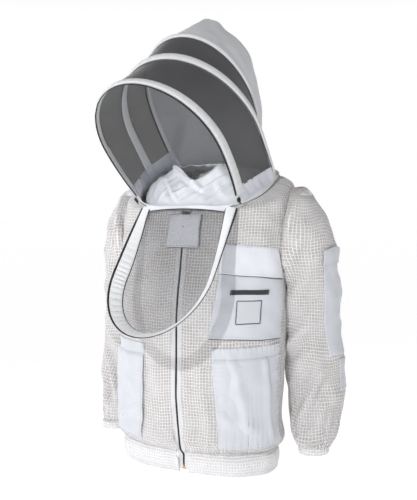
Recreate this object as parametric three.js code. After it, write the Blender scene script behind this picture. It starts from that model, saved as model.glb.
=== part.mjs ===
// Ventilated beekeeping jacket with a hooped veil hood, its front veil unzipped and dropped forward.
// Millimetres, +Z up, the wearer faces -Y, the wearer's left is +X, origin at the middle of the neckline.
import * as THREE from "three";

// ---------- driving dimensions ----------
const CLOTH = 3;                  // thickness of the three-layer mesh cloth
const POPLIN = 1.6;               // thickness of pockets, flaps and patches
const VEIL = 1.4;                 // thickness of the veil netting
const GAP = 0.5;                  // clearance between neighbouring pieces
const FINE = 1e-3;                // step used to measure a surface normal

// The front centre line is an arc, so the zip runs on a circle about a far axis.
const FRONT_ARC = { radius: 1357, z: -430, y: -157 };

// Horizontal stations of the body, from hem to neckline: level is the height where y is 0.
const STATIONS = [
  { level: -713, slope: 0.09, half: 218, back: 78, wide: -25, square: 2.3 },
  { level: -656, slope: 0.09, half: 224, back: 84, wide: -25, square: 2.3 },
  { level: -600, slope: 0.05, half: 231, back: 92, wide: -24, square: 2.35 },
  { level: -447, slope: 0.02, half: 233, back: 100, wide: -22, square: 2.4 },
  { level: -312, slope: 0.01, half: 235, back: 108, wide: -14, square: 2.4 },
  { level: -200, slope: 0.02, half: 240, back: 114, wide: -2, square: 2.4 },
  { level: -136, slope: 0.06, half: 244, back: 117, wide: 8, square: 2.5 },
  { level: -60, slope: 0.16, half: 247, back: 118, wide: 26, square: 2.6 },
  { level: -8, slope: 0.32, half: 244, back: 118, wide: 42, square: 2.8 },
  { level: 8, slope: 0.44, half: 236, back: 118, wide: 45, square: 2.9 },
  { level: 14, slope: 0.49, half: 222, back: 118, wide: 45, square: 2.95 },
  { level: 18.5, slope: 0.52, half: 194, back: 118, wide: 45, square: 3 },
];
const NECK_LEVEL = 18.5;
const WAIST_LEVEL = -656;
const HEM_LEVEL = -713;

const ARMHOLE = { level: -93.5, halfHeight: 97.5, front: 13, back: 36 };      // front and back in degrees

// Sleeve sections from shoulder to wrist: outermost point, innermost point and half width front to back.
const SLEEVE = [
  { outer: [284, 54, 8], inner: [246, 22, -186], half: 77 },
  { outer: [327, 60, -52], inner: [234, 36, -198], half: 80 },
  { outer: [347, 70, -125], inner: [212, 60, -215], half: 81 },
  { outer: [351, 73, -215], inner: [206, 73, -245], half: 80 },
  { outer: [355, 73, -321], inner: [212, 73, -325], half: 78 },
  { outer: [368, 83, -421], inner: [216, 83, -421], half: 76 },
  { outer: [370, 79, -510], inner: [222, 79, -510], half: 72 },
  { outer: [367, 68, -580], inner: [233, 68, -580], half: 66 },
  { outer: [361, 52, -630], inner: [248, 52, -630], half: 58 },
  { outer: [350, 34, -651], inner: [273, 34, -651], half: 42 },
];
const CAP_SECTIONS = 3;           // sections of the sleeve that belong to the soft shoulder cap
const CUFF = { x: 311.5, y: 30, top: -652, bottom: -670, radiusX: 36, radiusY: 38 };

// Hoops are planar arches standing on the neckline. lean is measured from upright, towards the front.
const HOOP_FRONT = { x: 142.7, y: -81.9, z: -15.5, lean: 47, length: 413, half: 165, waist: 0.48 };
const HOOP_MID = { x: 193.7, y: 45.4, z: 44, lean: 42.4, length: 406, half: 196, waist: 0.42 };
const HOOP_REAR = { x: 128, y: 105.6, z: 85, lean: 35.2, length: 410, half: 151, waist: 0.52 };
const ARCH_SHARE = 0.6;           // share of each arch's parameter above its waist
const SKIRT_SHARE = 0.88;         // where the poplin skirt ends and the netting begins
const HOOD_BACK_SEAM = [[0, 140, 300], [0, 165, 470], [0, 20, 493]];
const HOOD_BACK_ROUND = 0.8;
const CHANNEL = { thick: 6, hole: 2.1, lift: 5.6 };
const STAY_RADIUS = 1.5;

// The front veil: the same outline as the front hoop, dropped forward about the same base line.
const DOOR = { drop: 38.3, wall: 26, depth: 24, deepAt: 220, bulge: 22, bulgeEnd: 110, top: 30 };
const DOOR_ARCH = { ...HOOP_FRONT, x: 140, half: 145, waist: 0.55 };      // it hangs narrower than its hoop

const COLLAR = { radius: 72, y: 10, z: 72, slope: 0.25 };

const COLORS = {
  mesh: 0xe9e1d6,
  poplin: 0xeff1f6,
  veil: 0x33353a,
  doorVeil: 0x6d7076,
  binding: 0xe6e8ec,
  tape: 0xdcdcde,
  zip: 0x1b1c20,
  brass: 0xb08a3c,
  steel: 0xb9bcc2,
  elastic: 0xf4f4f2,
};

// ---------- small helpers ----------
const jacket = new THREE.Group();
const rad = THREE.MathUtils.degToRad;
const vec = (x, y, z) => new THREE.Vector3(x, y, z);
const mix = (a, b, t) => a + (b - a) * t;
const smooth = (t) => THREE.MathUtils.smoothstep(t, 0, 1);
const signedPower = (value, power) => Math.sign(value) * Math.abs(value) ** power;

function material(color, roughness = 0.9, metalness = 0) {
  return new THREE.MeshStandardMaterial({ color, roughness, metalness });
}

const FINISH = {
  mesh: material(COLORS.mesh),
  poplin: material(COLORS.poplin, 0.8),
  veil: material(COLORS.veil, 0.7),
  doorVeil: material(COLORS.doorVeil, 0.7),
  binding: material(COLORS.binding, 0.8),
  tape: material(COLORS.tape),
  zip: material(COLORS.zip, 0.5),
  brass: material(COLORS.brass, 0.35, 0.9),
  steel: material(COLORS.steel, 0.4, 0.9),
  elastic: material(COLORS.elastic),
};

// Adds a mesh from points and triangles, turned so that its faces point out.
function addSolid(name, finish, points, triangles) {
  let volume = 0;
  for (const [a, b, c] of triangles) {
    volume += points[a].dot(points[b].clone().cross(points[c]));
  }
  const faces = volume < 0 ? triangles.map(([a, b, c]) => [a, c, b]) : triangles;
  const geometry = new THREE.BufferGeometry();
  geometry.setAttribute("position", new THREE.Float32BufferAttribute(points.flatMap((p) => p.toArray()), 3));
  geometry.setIndex(faces.flat());
  geometry.computeVertexNormals();
  const mesh = new THREE.Mesh(geometry, finish);
  mesh.name = name;
  jacket.add(mesh);
  return mesh;
}

function surfaceNormal(surface, u, v) {
  const alongU = surface(u + FINE, v).sub(surface(u - FINE, v));
  const alongV = surface(u, v + FINE).sub(surface(u, v - FINE));
  return alongU.cross(alongV).normalize();
}

// A sheet of cloth of the given thickness on surface(u, v), lifted along its normal.
// With wrap, u closes on itself and the sheet is a tube.
function addSheet(name, finish, surface, { columns, rows, thickness, lift = 0, side = 1, wrap = false }) {
  const across = wrap ? columns : columns + 1;
  const points = [];
  for (const layer of [0.5, -0.5]) {
    for (let j = 0; j <= rows; j += 1) {
      for (let i = 0; i < across; i += 1) {
        const u = i / columns;
        const v = j / rows;
        const normal = surfaceNormal(surface, u, v).multiplyScalar(side);
        points.push(surface(u, v).addScaledVector(normal, lift + layer * thickness));
      }
    }
  }
  const layerSize = across * (rows + 1);
  const at = (layer, i, j) => layer * layerSize + j * across + (i % across);
  const triangles = [];
  const quad = (a, b, c, d) => triangles.push([a, b, c], [a, c, d]);
  for (let j = 0; j < rows; j += 1) {
    for (let i = 0; i < columns; i += 1) {
      quad(at(0, i, j), at(0, i + 1, j), at(0, i + 1, j + 1), at(0, i, j + 1));
      quad(at(1, i, j), at(1, i, j + 1), at(1, i + 1, j + 1), at(1, i + 1, j));
    }
  }
  for (let i = 0; i < columns; i += 1) {
    quad(at(0, i, 0), at(1, i, 0), at(1, i + 1, 0), at(0, i + 1, 0));
    quad(at(0, i + 1, rows), at(1, i + 1, rows), at(1, i, rows), at(0, i, rows));
  }
  if (!wrap) {
    for (let j = 0; j < rows; j += 1) {
      quad(at(0, 0, j + 1), at(1, 0, j + 1), at(1, 0, j), at(0, 0, j));
      quad(at(0, columns, j), at(1, columns, j), at(1, columns, j + 1), at(0, columns, j + 1));
    }
  }
  return addSolid(name, finish, points, triangles);
}

// Sweeps a closed section along frames of { origin, across, out }. A hole makes it an open-ended sleeve.
function addSweep(name, finish, frames, section, hole = null) {
  const loops = hole ? [section, hole] : [section];
  const sides = section.length;
  const points = [];
  for (const loop of loops) {
    for (const { origin, across, out } of frames) {
      for (const [a, n] of loop) {
        points.push(origin.clone().addScaledVector(across, a).addScaledVector(out, n));
      }
    }
  }
  const loopSize = frames.length * sides;
  const at = (loop, j, i) => loop * loopSize + j * sides + (i % sides);
  const triangles = [];
  const quad = (a, b, c, d) => triangles.push([a, b, c], [a, c, d]);
  for (let j = 0; j < frames.length - 1; j += 1) {
    for (let i = 0; i < sides; i += 1) {
      quad(at(0, j, i), at(0, j + 1, i), at(0, j + 1, i + 1), at(0, j, i + 1));
      if (hole) {
        quad(at(1, j, i), at(1, j, i + 1), at(1, j + 1, i + 1), at(1, j + 1, i));
      }
    }
  }
  const last = frames.length - 1;
  if (hole) {
    for (let i = 0; i < sides; i += 1) {
      quad(at(0, 0, i), at(0, 0, i + 1), at(1, 0, i + 1), at(1, 0, i));
      quad(at(0, last, i + 1), at(0, last, i), at(1, last, i), at(1, last, i + 1));
    }
  } else {
    for (let i = 1; i < sides - 1; i += 1) {
      triangles.push([at(0, 0, 0), at(0, 0, i), at(0, 0, i + 1)]);
      triangles.push([at(0, last, 0), at(0, last, i + 1), at(0, last, i)]);
    }
  }
  return addSolid(name, finish, points, triangles);
}

function ellipseSection(radiusA, radiusN, sides, shiftA = 0, shiftN = 0) {
  return Array.from({ length: sides }, (_, i) => {
    const angle = (2 * Math.PI * i) / sides;
    return [shiftA + radiusA * Math.cos(angle), shiftN + radiusN * Math.sin(angle)];
  });
}

function addBox(name, finish, size, centre, turn = [0, 0, 0]) {
  const mesh = new THREE.Mesh(new THREE.BoxGeometry(...size), finish);
  mesh.name = name;
  mesh.position.set(...centre);
  mesh.rotation.set(...turn);
  jacket.add(mesh);
  return mesh;
}

// ---------- the body's surface ----------
function stationAt(level) {
  const clamped = THREE.MathUtils.clamp(level, HEM_LEVEL, NECK_LEVEL);
  const upper = Math.max(1, STATIONS.findIndex((station) => clamped <= station.level));
  const low = STATIONS[upper - 1];
  const high = STATIONS[upper];
  const t = (clamped - low.level) / (high.level - low.level);
  const station = {};
  for (const key of Object.keys(low)) {
    station[key] = mix(low[key], high[key], t);
  }
  return station;
}

function frontLine(z) {
  const reach = Math.sqrt(FRONT_ARC.radius ** 2 - (z - FRONT_ARC.z) ** 2);
  return FRONT_ARC.y + FRONT_ARC.radius - reach;
}

// angle 0 is the wearer's left side, 90 the front centre, 180 the right side and 270 the back centre.
function bodyPoint(angle, level) {
  const { slope, half, back, wide, square } = stationAt(level);
  const front = frontLine(level - 110 * slope);
  const c = Math.cos(rad(angle));
  const s = Math.sin(rad(angle));
  const depth = s > 0 ? wide - front : back - wide;
  const y = wide - depth * signedPower(s, 2 / square);
  return vec(half * signedPower(c, 2 / square), y, level + slope * y);
}

function levelOf(y, z) {
  let level = z;
  for (let i = 0; i < 8; i += 1) {
    level = z - stationAt(level).slope * y;
  }
  return level;
}

function angleOfX(x, level) {
  const { half, square } = stationAt(level);
  return THREE.MathUtils.radToDeg(Math.acos(signedPower(THREE.MathUtils.clamp(x / half, -1, 1), square / 2)));
}

// The point of the front at a given x and height.
function frontPoint(x, z) {
  let y = -120;
  let point = null;
  for (let i = 0; i < 8; i += 1) {
    const level = levelOf(y, z);
    point = bodyPoint(angleOfX(x, level), level);
    y = point.y;
  }
  return point;
}

const SIDE_LIMIT = 3;             // degrees from the side seam where anything sewn on the front stops

// The angle and level of the front point at a given x and height.
function frontAddress([x, z]) {
  const level = levelOf(frontPoint(x, z).y, z);
  return [THREE.MathUtils.clamp(angleOfX(x, level), SIDE_LIMIT, 180 - SIDE_LIMIT), level];
}

// A four-sided patch of the front between corners [x, z]: lower left, lower right, upper right, upper left.
function frontPatch(corners) {
  const [lowLeft, lowRight, highRight, highLeft] = corners.map(frontAddress);
  return (u, v) => {
    const angle = mix(mix(lowLeft[0], lowRight[0], u), mix(highLeft[0], highRight[0], u), v);
    const level = mix(mix(lowLeft[1], lowRight[1], u), mix(highLeft[1], highRight[1], u), v);
    return bodyPoint(angle, level);
  };
}

const mirrored = (surface) => (u, v) => {
  const p = surface(u, v);
  return vec(-p.x, p.y, p.z);
};

const mirrorCorners = (corners) => [corners[1], corners[0], corners[3], corners[2]].map(([x, z]) => [-x, z]);

function armholeAngle(level, reachAngle) {
  const reach = (level - ARMHOLE.level) / ARMHOLE.halfHeight;
  return Math.abs(reach) < 1 ? reachAngle * Math.sqrt(1 - reach * reach) : 0;
}

// ---------- jacket body ----------
const ZIP_HALF = 14;              // half width of the bare strip that the main zip fills
const SEAM = 0.15;                // half the seam gap, in degrees round the body
const PANEL_TOP = NECK_LEVEL - 0.3;

function addBodyPanels() {
  const left = (u, v) => {
    const level = mix(WAIST_LEVEL + GAP, PANEL_TOP, v);
    return bodyPoint(mix(angleOfX(ZIP_HALF, level), armholeAngle(level, ARMHOLE.front) + SEAM, u), level);
  };
  const back = (u, v) => {
    const level = mix(WAIST_LEVEL + GAP, PANEL_TOP, v);
    const edge = armholeAngle(level, ARMHOLE.back) + SEAM;
    return bodyPoint(mix(-edge, -180 + edge, u), level);
  };
  const grid = { columns: 9, rows: 15, thickness: CLOTH };
  addSheet("front_panel_left", FINISH.mesh, left, grid);
  addSheet("front_panel_right", FINISH.mesh, mirrored(left), grid);
  addSheet("back_panel", FINISH.mesh, back, { columns: 14, rows: 15, thickness: CLOTH });
}

function addWaistband() {
  const band = (fromAngle, toAngle) => (u, v) => {
    const level = mix(HEM_LEVEL, WAIST_LEVEL - GAP, v);
    const start = fromAngle === null ? angleOfX(ZIP_HALF, level) : fromAngle;
    return bodyPoint(mix(start, toAngle, u), level);
  };
  const frontGrid = { columns: 8, rows: 2, thickness: CLOTH };
  const frontBand = band(null, SEAM);
  addSheet("waistband_front_left", FINISH.mesh, frontBand, frontGrid);
  addSheet("waistband_front_right", FINISH.mesh, mirrored(frontBand), frontGrid);
  addSheet("waistband_back", FINISH.mesh, band(-SEAM, -180 + SEAM), { columns: 14, rows: 2, thickness: CLOTH });
  const elastic = (u, v) => bodyPoint(mix(75, -255, u), mix(HEM_LEVEL + 14, WAIST_LEVEL - 8, v));
  addSheet("waist_elastic", FINISH.elastic, elastic, { columns: 24, rows: 1, thickness: 1.2, lift: 3.6, side: -1 });
}

function addCollar() {
  const collar = (u, v) => {
    const angle = 360 * u;
    const low = bodyPoint(angle, NECK_LEVEL);
    const foot = vec(low.x * 0.93, low.y * 0.93, low.z + 1);
    const y = COLLAR.y - COLLAR.radius * Math.sin(rad(angle));
    const head = vec(COLLAR.radius * Math.cos(rad(angle)), y, COLLAR.z + COLLAR.slope * y);
    const rise = Math.max(v, 0) ** 0.8;
    const point = foot.lerp(head, v);
    point.z = mix(low.z + 1, COLLAR.z + COLLAR.slope * y, rise);
    return point;
  };
  addSheet("neck_collar", FINISH.poplin, collar, { columns: 24, rows: 3, thickness: POPLIN, wrap: true });
  const loop = Array.from({ length: 9 }, (_, i) => {
    const turn = Math.PI * (i / 8);
    return {
      origin: vec(22 * Math.cos(turn), 96 + 4 * Math.sin(turn), 58 - 34 * Math.sin(turn)),
      across: vec(0, 1, 0),
      out: vec(Math.cos(turn), 0, -Math.sin(turn)),
    };
  });
  addSweep("hanger_loop", FINISH.tape, loop, ellipseSection(3, 0.8, 6));
}

// ---------- zips ----------
const RING_UP = vec(0, -0.461, 0.887);
const MAIN_ZIP = { top: -46, bottom: -716 };
const COIL_HALF = 2.4;

// Turn about +X that lays a box against the front at height z.
const frontTilt = (z) => -Math.asin((z - FRONT_ARC.z) / FRONT_ARC.radius);

function addMainZip() {
  const strip = (inner, outer) => (u, v) => frontPoint(mix(inner, outer, u), mix(MAIN_ZIP.bottom, MAIN_ZIP.top, v));
  const grid = { columns: 1, rows: 16, thickness: 1.6 };
  const left = strip(COIL_HALF + GAP, ZIP_HALF - GAP);
  addSheet("main_zip_tape_left", FINISH.tape, left, grid);
  addSheet("main_zip_tape_right", FINISH.tape, mirrored(left), grid);
  const coil = (u, v) => frontPoint(mix(-COIL_HALF, COIL_HALF, u), mix(MAIN_ZIP.bottom + 10, MAIN_ZIP.top, v));
  addSheet("main_zip_teeth", FINISH.zip, coil, { columns: 1, rows: 16, thickness: 3 });
  const boxZ = MAIN_ZIP.bottom + 4;
  addBox("main_zip_bottom_box", FINISH.brass, [4.6, 4, 10], [0, frontLine(boxZ), boxZ], [frontTilt(boxZ), 0, 0]);
}

// Slider and pull of the main zip, drawn up under the flap.
const SLIDER_Z = -64;

function addMainZipSlider() {
  const tilt = frontTilt(SLIDER_Z);
  const y = frontLine(SLIDER_Z);
  addBox("main_zip_slider", FINISH.steel, [9, 2.4, 12], [0, y - 3.2, SLIDER_Z], [tilt, 0, 0]);
  addBox("main_zip_pull", FINISH.steel, [6, 1.2, 30], [0, frontLine(SLIDER_Z - 20) - 3.6, SLIDER_Z - 22.5], [tilt, 0, 0]);
}

// Two tapes round the neckline: the jacket's half below, the hood's half above.
const ringPoint = (angle, up) => bodyPoint(angle, NECK_LEVEL).addScaledVector(RING_UP, up);

function addNeckZip() {
  const band = (low, high) => (u, v) => ringPoint(360 * u, mix(low, high, v));
  const grid = { columns: 36, rows: 1, thickness: 2.4, wrap: true };
  addSheet("neck_zip_jacket_half", FINISH.zip, band(1.7, 5.2), grid);
  addSheet("neck_zip_hood_half", FINISH.zip, band(5.8, 9.2), grid);
  for (const [side, sign] of [["left", 1], ["right", -1]]) {
    const place = ringPoint(angleOfX(sign * 12, NECK_LEVEL), 5.1);
    addBox(`neck_zip_slider_${side}`, FINISH.steel, [13, 2.4, 7], [sign * 12, place.y - 3.9, place.z - 3.2], [0.48, 0, 0]);
  }
}

// ---------- pockets and flaps ----------
const CHEST_POCKET = [[92, -361], [240, -363], [240, -214], [114, -194]];
const CHEST_FLAP = [[112, -195], [238.6, -208], [236, -129], [116, -118]];
const HIP_POCKET = [[112, -644], [240, -632], [240, -376], [100, -386]];
const ZIP_FLAP = [[-46, -130], [50, -130], [50, -44], [-46, -44]];
const BADGE = [[158, -322], [208, -320], [210, -262], [160, -264]];

function addPockets() {
  const pocketLift = CLOTH / 2 + POPLIN / 2 + 2.4 * GAP;
  const grid = { columns: 6, rows: 8, thickness: POPLIN, lift: pocketLift };
  addSheet("chest_pocket", FINISH.poplin, frontPatch(CHEST_POCKET), grid);
  addSheet("hip_pocket_left", FINISH.poplin, frontPatch(HIP_POCKET), grid);
  addSheet("hip_pocket_right", FINISH.poplin, frontPatch(mirrorCorners(HIP_POCKET)), grid);
  const flapLift = pocketLift + POPLIN + GAP;
  const flapGrid = { columns: 6, rows: 3, thickness: POPLIN, lift: flapLift };
  addSheet("chest_pocket_flap", FINISH.poplin, frontPatch(CHEST_FLAP), flapGrid);
  addSheet("chest_badge", FINISH.elastic, frontPatch(BADGE), { columns: 4, rows: 3, thickness: 0.8, lift: flapLift - 0.4 });
  const overSliders = 8.2;
  addSheet("zip_end_flap", FINISH.poplin, frontPatch(ZIP_FLAP), { columns: 4, rows: 4, thickness: POPLIN, lift: overSliders });
}

// ---------- sleeves ----------
function bodyHalfWidthAt(y, z) {
  const level = levelOf(y, z);
  const { half, back, wide, square, slope } = stationAt(level);
  const depth = y < wide ? wide - frontLine(level - 110 * slope) : back - wide;
  const reach = Math.abs(y - wide) / depth;
  return reach < 1 ? half * (1 - reach ** square) ** (1 / square) : 0;
}

const SLEEVE_CLEAR = CLOTH + 3.5;

function sleeveSection(index, turn) {
  if (index === 0) {
    const angle = 1.03 * Math.cos(turn) * (Math.cos(turn) > 0 ? ARMHOLE.front : ARMHOLE.back);
    const level = ARMHOLE.level + 1.02 * ARMHOLE.halfHeight * Math.sin(turn);
    const onBody = (u, v) => bodyPoint(angle + u, level + v);
    return onBody(0, 0).addScaledVector(surfaceNormal(onBody, 0, 0), -SLEEVE_CLEAR);
  }
  const { outer, inner, half } = SLEEVE[index - 1];
  const high = vec(...outer);
  const low = vec(...inner);
  const point = low.clone().lerp(high, 0.5 + 0.5 * Math.sin(turn));
  point.y -= half * Math.cos(turn);
  return point;
}

// The left sleeve: u goes round it, station counts sections from the armhole down.
function sleevePoint(u, station) {
  const turn = 2 * Math.PI * u;
  const last = SLEEVE.length;
  const at = THREE.MathUtils.clamp(station, 0, last);
  const index = Math.min(Math.floor(at), last - 1);
  const point = sleeveSection(index, turn).lerp(sleeveSection(index + 1, turn), at - index);
  if (at > 0.05) {
    point.x = Math.max(point.x, bodyHalfWidthAt(point.y, point.z) + SLEEVE_CLEAR);
  }
  return point;
}

const SLEEVE_SIDES = 16;

function addSleeve(side, sign) {
  const onSide = (surface) => (sign > 0 ? surface : mirrored(surface));
  const capEnd = CAP_SECTIONS;
  const cap = (u, v) => sleevePoint(u, mix(0.06, capEnd - 0.045, v));
  addSheet(`sleeve_cap_${side}`, FINISH.mesh, onSide(cap), { columns: SLEEVE_SIDES, rows: 4, thickness: CLOTH, wrap: true });
  const lower = (u, v) => sleevePoint(u, mix(capEnd + 0.05, SLEEVE.length, v));
  addSheet(`sleeve_${side}`, FINISH.mesh, onSide(lower), { columns: SLEEVE_SIDES, rows: 10, thickness: CLOTH, wrap: true });
  const ringAt = (clear) => (u, v) => {
    const turn = 2 * Math.PI * u;
    const x = CUFF.x + (CUFF.radiusX - clear) * Math.sin(turn);
    return vec(x, CUFF.y - (CUFF.radiusY - clear) * Math.cos(turn), mix(CUFF.bottom, CUFF.top - 2, v));
  };
  addSheet(`cuff_${side}`, FINISH.poplin, onSide(ringAt(0)), { columns: SLEEVE_SIDES, rows: 1, thickness: 2, wrap: true });
  addSheet(`cuff_elastic_${side}`, FINISH.elastic, onSide(ringAt(2.2)), { columns: SLEEVE_SIDES, rows: 1, thickness: 1.2, wrap: true });
}

// Patches of the left sleeve between turns round it and stations down it.
function sleevePatch(fromTurn, toTurn, fromStation, toStation) {
  return (u, v) => sleevePoint(mix(fromTurn, toTurn, u) / 360, mix(fromStation, toStation, v));
}

function addSleevePatches() {
  const lift = CLOTH / 2 + POPLIN / 2 + 4 * GAP;
  const grid = { columns: 4, rows: 5, thickness: POPLIN, lift, side: -1 };
  addSheet("sleeve_pocket", FINISH.poplin, sleevePatch(53, 128, 3.1, 5.9), grid);
  addSheet("elbow_patch", FINISH.poplin, sleevePatch(72, 150, 6.0, 6.9), { ...grid, rows: 3 });
  const flapGrid = { columns: 4, rows: 2, thickness: POPLIN, lift: lift + POPLIN + GAP, side: -1 };
  addSheet("sleeve_pocket_flap", FINISH.poplin, sleevePatch(52, 129, 3.03, 3.5), flapGrid);
}

// ---------- hood ----------
// A point of an arch: s runs from -1 at the right foot over 0 at the top to 1 at the left foot.
function archShape(hoop, s) {
  const waist = hoop.waist * hoop.length;
  const t = Math.abs(s);
  if (t < ARCH_SHARE) {
    const turn = (Math.PI / 2) * (1 - t / ARCH_SHARE);
    return [Math.sign(s) * hoop.half * Math.cos(turn), waist + (hoop.length - waist) * Math.sin(turn)];
  }
  const height = (waist * (1 - t)) / (1 - ARCH_SHARE);
  const spread = 1 - ((waist - height) / waist) ** 2;
  return [Math.sign(s) * (hoop.x + (hoop.half - hoop.x) * spread), height];
}

function archPoint(hoop, s) {
  const [x, height] = archShape(hoop, s);
  const lean = rad(hoop.lean);
  return vec(x, hoop.y - height * Math.sin(lean), hoop.z + height * Math.cos(lean));
}

const HOOD_HEART = vec(0, 0, 190);
const GORE_PUFF = 2;

// Netting between two hoops, puffed out a little between them.
function gorePoint(frontHoop, backHoop, s, g) {
  const point = archPoint(frontHoop, s).lerp(archPoint(backHoop, s), g);
  const away = point.clone().sub(HOOD_HEART).normalize();
  return point.addScaledVector(away, 4 * GORE_PUFF * g * (1 - g));
}

function hoopFrames(hoop, neighbour, sign, shift, from, to, steps) {
  return Array.from({ length: steps + 1 }, (_, i) => {
    const s = mix(from, to, i / steps);
    const origin = archPoint(hoop, s);
    const tangent = archPoint(hoop, s + FINE).sub(archPoint(hoop, s - FINE)).normalize();
    const across = archPoint(neighbour, s).sub(origin).multiplyScalar(sign);
    across.addScaledVector(tangent, -across.dot(tangent)).normalize();
    const out = tangent.clone().cross(across).normalize();
    if (out.dot(origin.clone().sub(HOOD_HEART)) < 0) {
      out.negate();
    }
    return { origin: origin.addScaledVector(across, shift), across, out };
  });
}

const HOOP_STEPS = 20;
const FOOT = 0.93;

function addHoop(name, hoop, neighbour, sign, width) {
  const frames = hoopFrames(hoop, neighbour, sign, width / 2, -FOOT, FOOT, HOOP_STEPS);
  const outline = ellipseSection(width / 2, CHANNEL.thick / 2, 6, 0, CHANNEL.lift);
  const hole = ellipseSection(CHANNEL.hole, CHANNEL.hole, 6, 0, CHANNEL.lift);
  addSweep(`hoop_channel_${name}`, FINISH.binding, frames, outline, hole);
  addSweep(`hoop_stay_${name}`, FINISH.steel, frames, ellipseSection(STAY_RADIUS, STAY_RADIUS, 6, 0, CHANNEL.lift));
}

function addHoodSides() {
  const wall = (u, v) => {
    const g = 0.01 + 1.96 * u;
    const [from, to, share] = g < 1 ? [HOOP_FRONT, HOOP_MID, g] : [HOOP_MID, HOOP_REAR, g - 1];
    const [fromAngle, toAngle] = g < 1 ? [48.5, 0] : [0, -57.6];
    const shift = ringPoint(mix(fromAngle, toAngle, share), 10).sub(gorePoint(from, to, 1, share));
    const wall = gorePoint(from, to, mix(1, SKIRT_SHARE + 0.004, v), share);
    return wall.addScaledVector(shift, (1 - v) ** 3);
  };
  const grid = { columns: 10, rows: 3, thickness: POPLIN };
  addSheet("hood_skirt_left", FINISH.poplin, wall, grid);
  addSheet("hood_skirt_right", FINISH.poplin, mirrored(wall), grid);
}

function addGores() {
  const edge = 0.006;
  const front = (u, v) => gorePoint(HOOP_FRONT, HOOP_MID, mix(-SKIRT_SHARE, SKIRT_SHARE, u), mix(edge, 1 - edge, v));
  const middle = (u, v) => gorePoint(HOOP_MID, HOOP_REAR, mix(-SKIRT_SHARE, SKIRT_SHARE, u), mix(edge, 1 - edge, v));
  const grid = { columns: HOOP_STEPS, rows: 4, thickness: VEIL };
  addSheet("veil_gore_front", FINISH.veil, front, grid);
  addSheet("veil_gore_mid", FINISH.veil, middle, grid);
}

// One half of the hood's back: from the rear hoop it curves round to the centre seam like a quarter of an oval.
function addHoodBack() {
  const seam = new THREE.CubicBezierCurve3(ringPoint(270, 10), ...HOOD_BACK_SEAM.map((point) => vec(...point)));
  const section = (u, v) => {
    const hoop = archPoint(HOOP_REAR, 1 - v);
    const back = seam.getPoint(THREE.MathUtils.clamp(v, 0, 1));
    const share = signedPower(Math.sin((Math.PI / 2) * u), HOOD_BACK_ROUND);
    const point = hoop.clone().lerp(back, share);
    point.x = hoop.x * signedPower(Math.cos((Math.PI / 2) * u), HOOD_BACK_ROUND);
    return point;
  };
  const half = (u, v) => {
    const toRing = ringPoint(mix(-57.6, -90, u), 10).sub(section(u, 0));
    return section(u, v).addScaledVector(toRing, (1 - v) ** 3);
  };
  const trimmed = (u, v) => {
    const point = half(mix(0.003, 0.9999, u), v);
    point.x = Math.max(point.x, 0) + 0.9;
    return point;
  };
  const grid = { columns: 9, rows: 14, thickness: VEIL };
  addSheet("hood_back_left", FINISH.mesh, trimmed, grid);
  addSheet("hood_back_right", FINISH.mesh, mirrored(trimmed), grid);
}

function addVeilZipHoodHalf() {
  const frames = hoopFrames(HOOP_FRONT, HOOP_MID, 1, -4, -FOOT, FOOT, HOOP_STEPS);
  addSweep("veil_zip_hood_half", FINISH.zip, frames, ellipseSection(2.6, 1.5, 6));
  for (const [side, sign] of [["left", 1], ["right", -1]]) {
    const foot = archPoint(HOOP_FRONT, sign * 0.962);
    addBox(`veil_zip_slider_${side}`, FINISH.zip, [5, 9, 12], [foot.x + sign * 8.6, foot.y - 6.8, foot.z - 2.6], [rad(HOOP_FRONT.lean), 0, 0]);
  }
}

// ---------- front veil ----------
// Across u from -1 to 1 and down by distance, measured in the dropped veil's plane; inset trims the outline.
function doorEdge(turnOrHeight, inset) {
  const { x, half, length, waist } = DOOR_ARCH;
  const inner = { x: x - inset, half: half - inset, length: length - inset, waist: (waist * length) / (length - inset) };
  return archShape(inner, turnOrHeight);
}

function doorDepth(down, u) {
  const sag = DOOR.depth * smooth(down / DOOR.deepAt);
  const forward = DOOR.bulge * (1 - smooth(down / DOOR.bulgeEnd)) * (1 - u * u);
  return sag - forward;
}

function doorPlace(x, down, depth) {
  const drop = rad(DOOR.drop);
  const y = HOOP_FRONT.y - down * Math.sin(drop) + depth * Math.cos(drop);
  const z = HOOP_FRONT.z - down * Math.cos(drop) - depth * Math.sin(drop);
  return vec(x, y, z);
}

const DOOR_TIP = 0.012;

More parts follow.
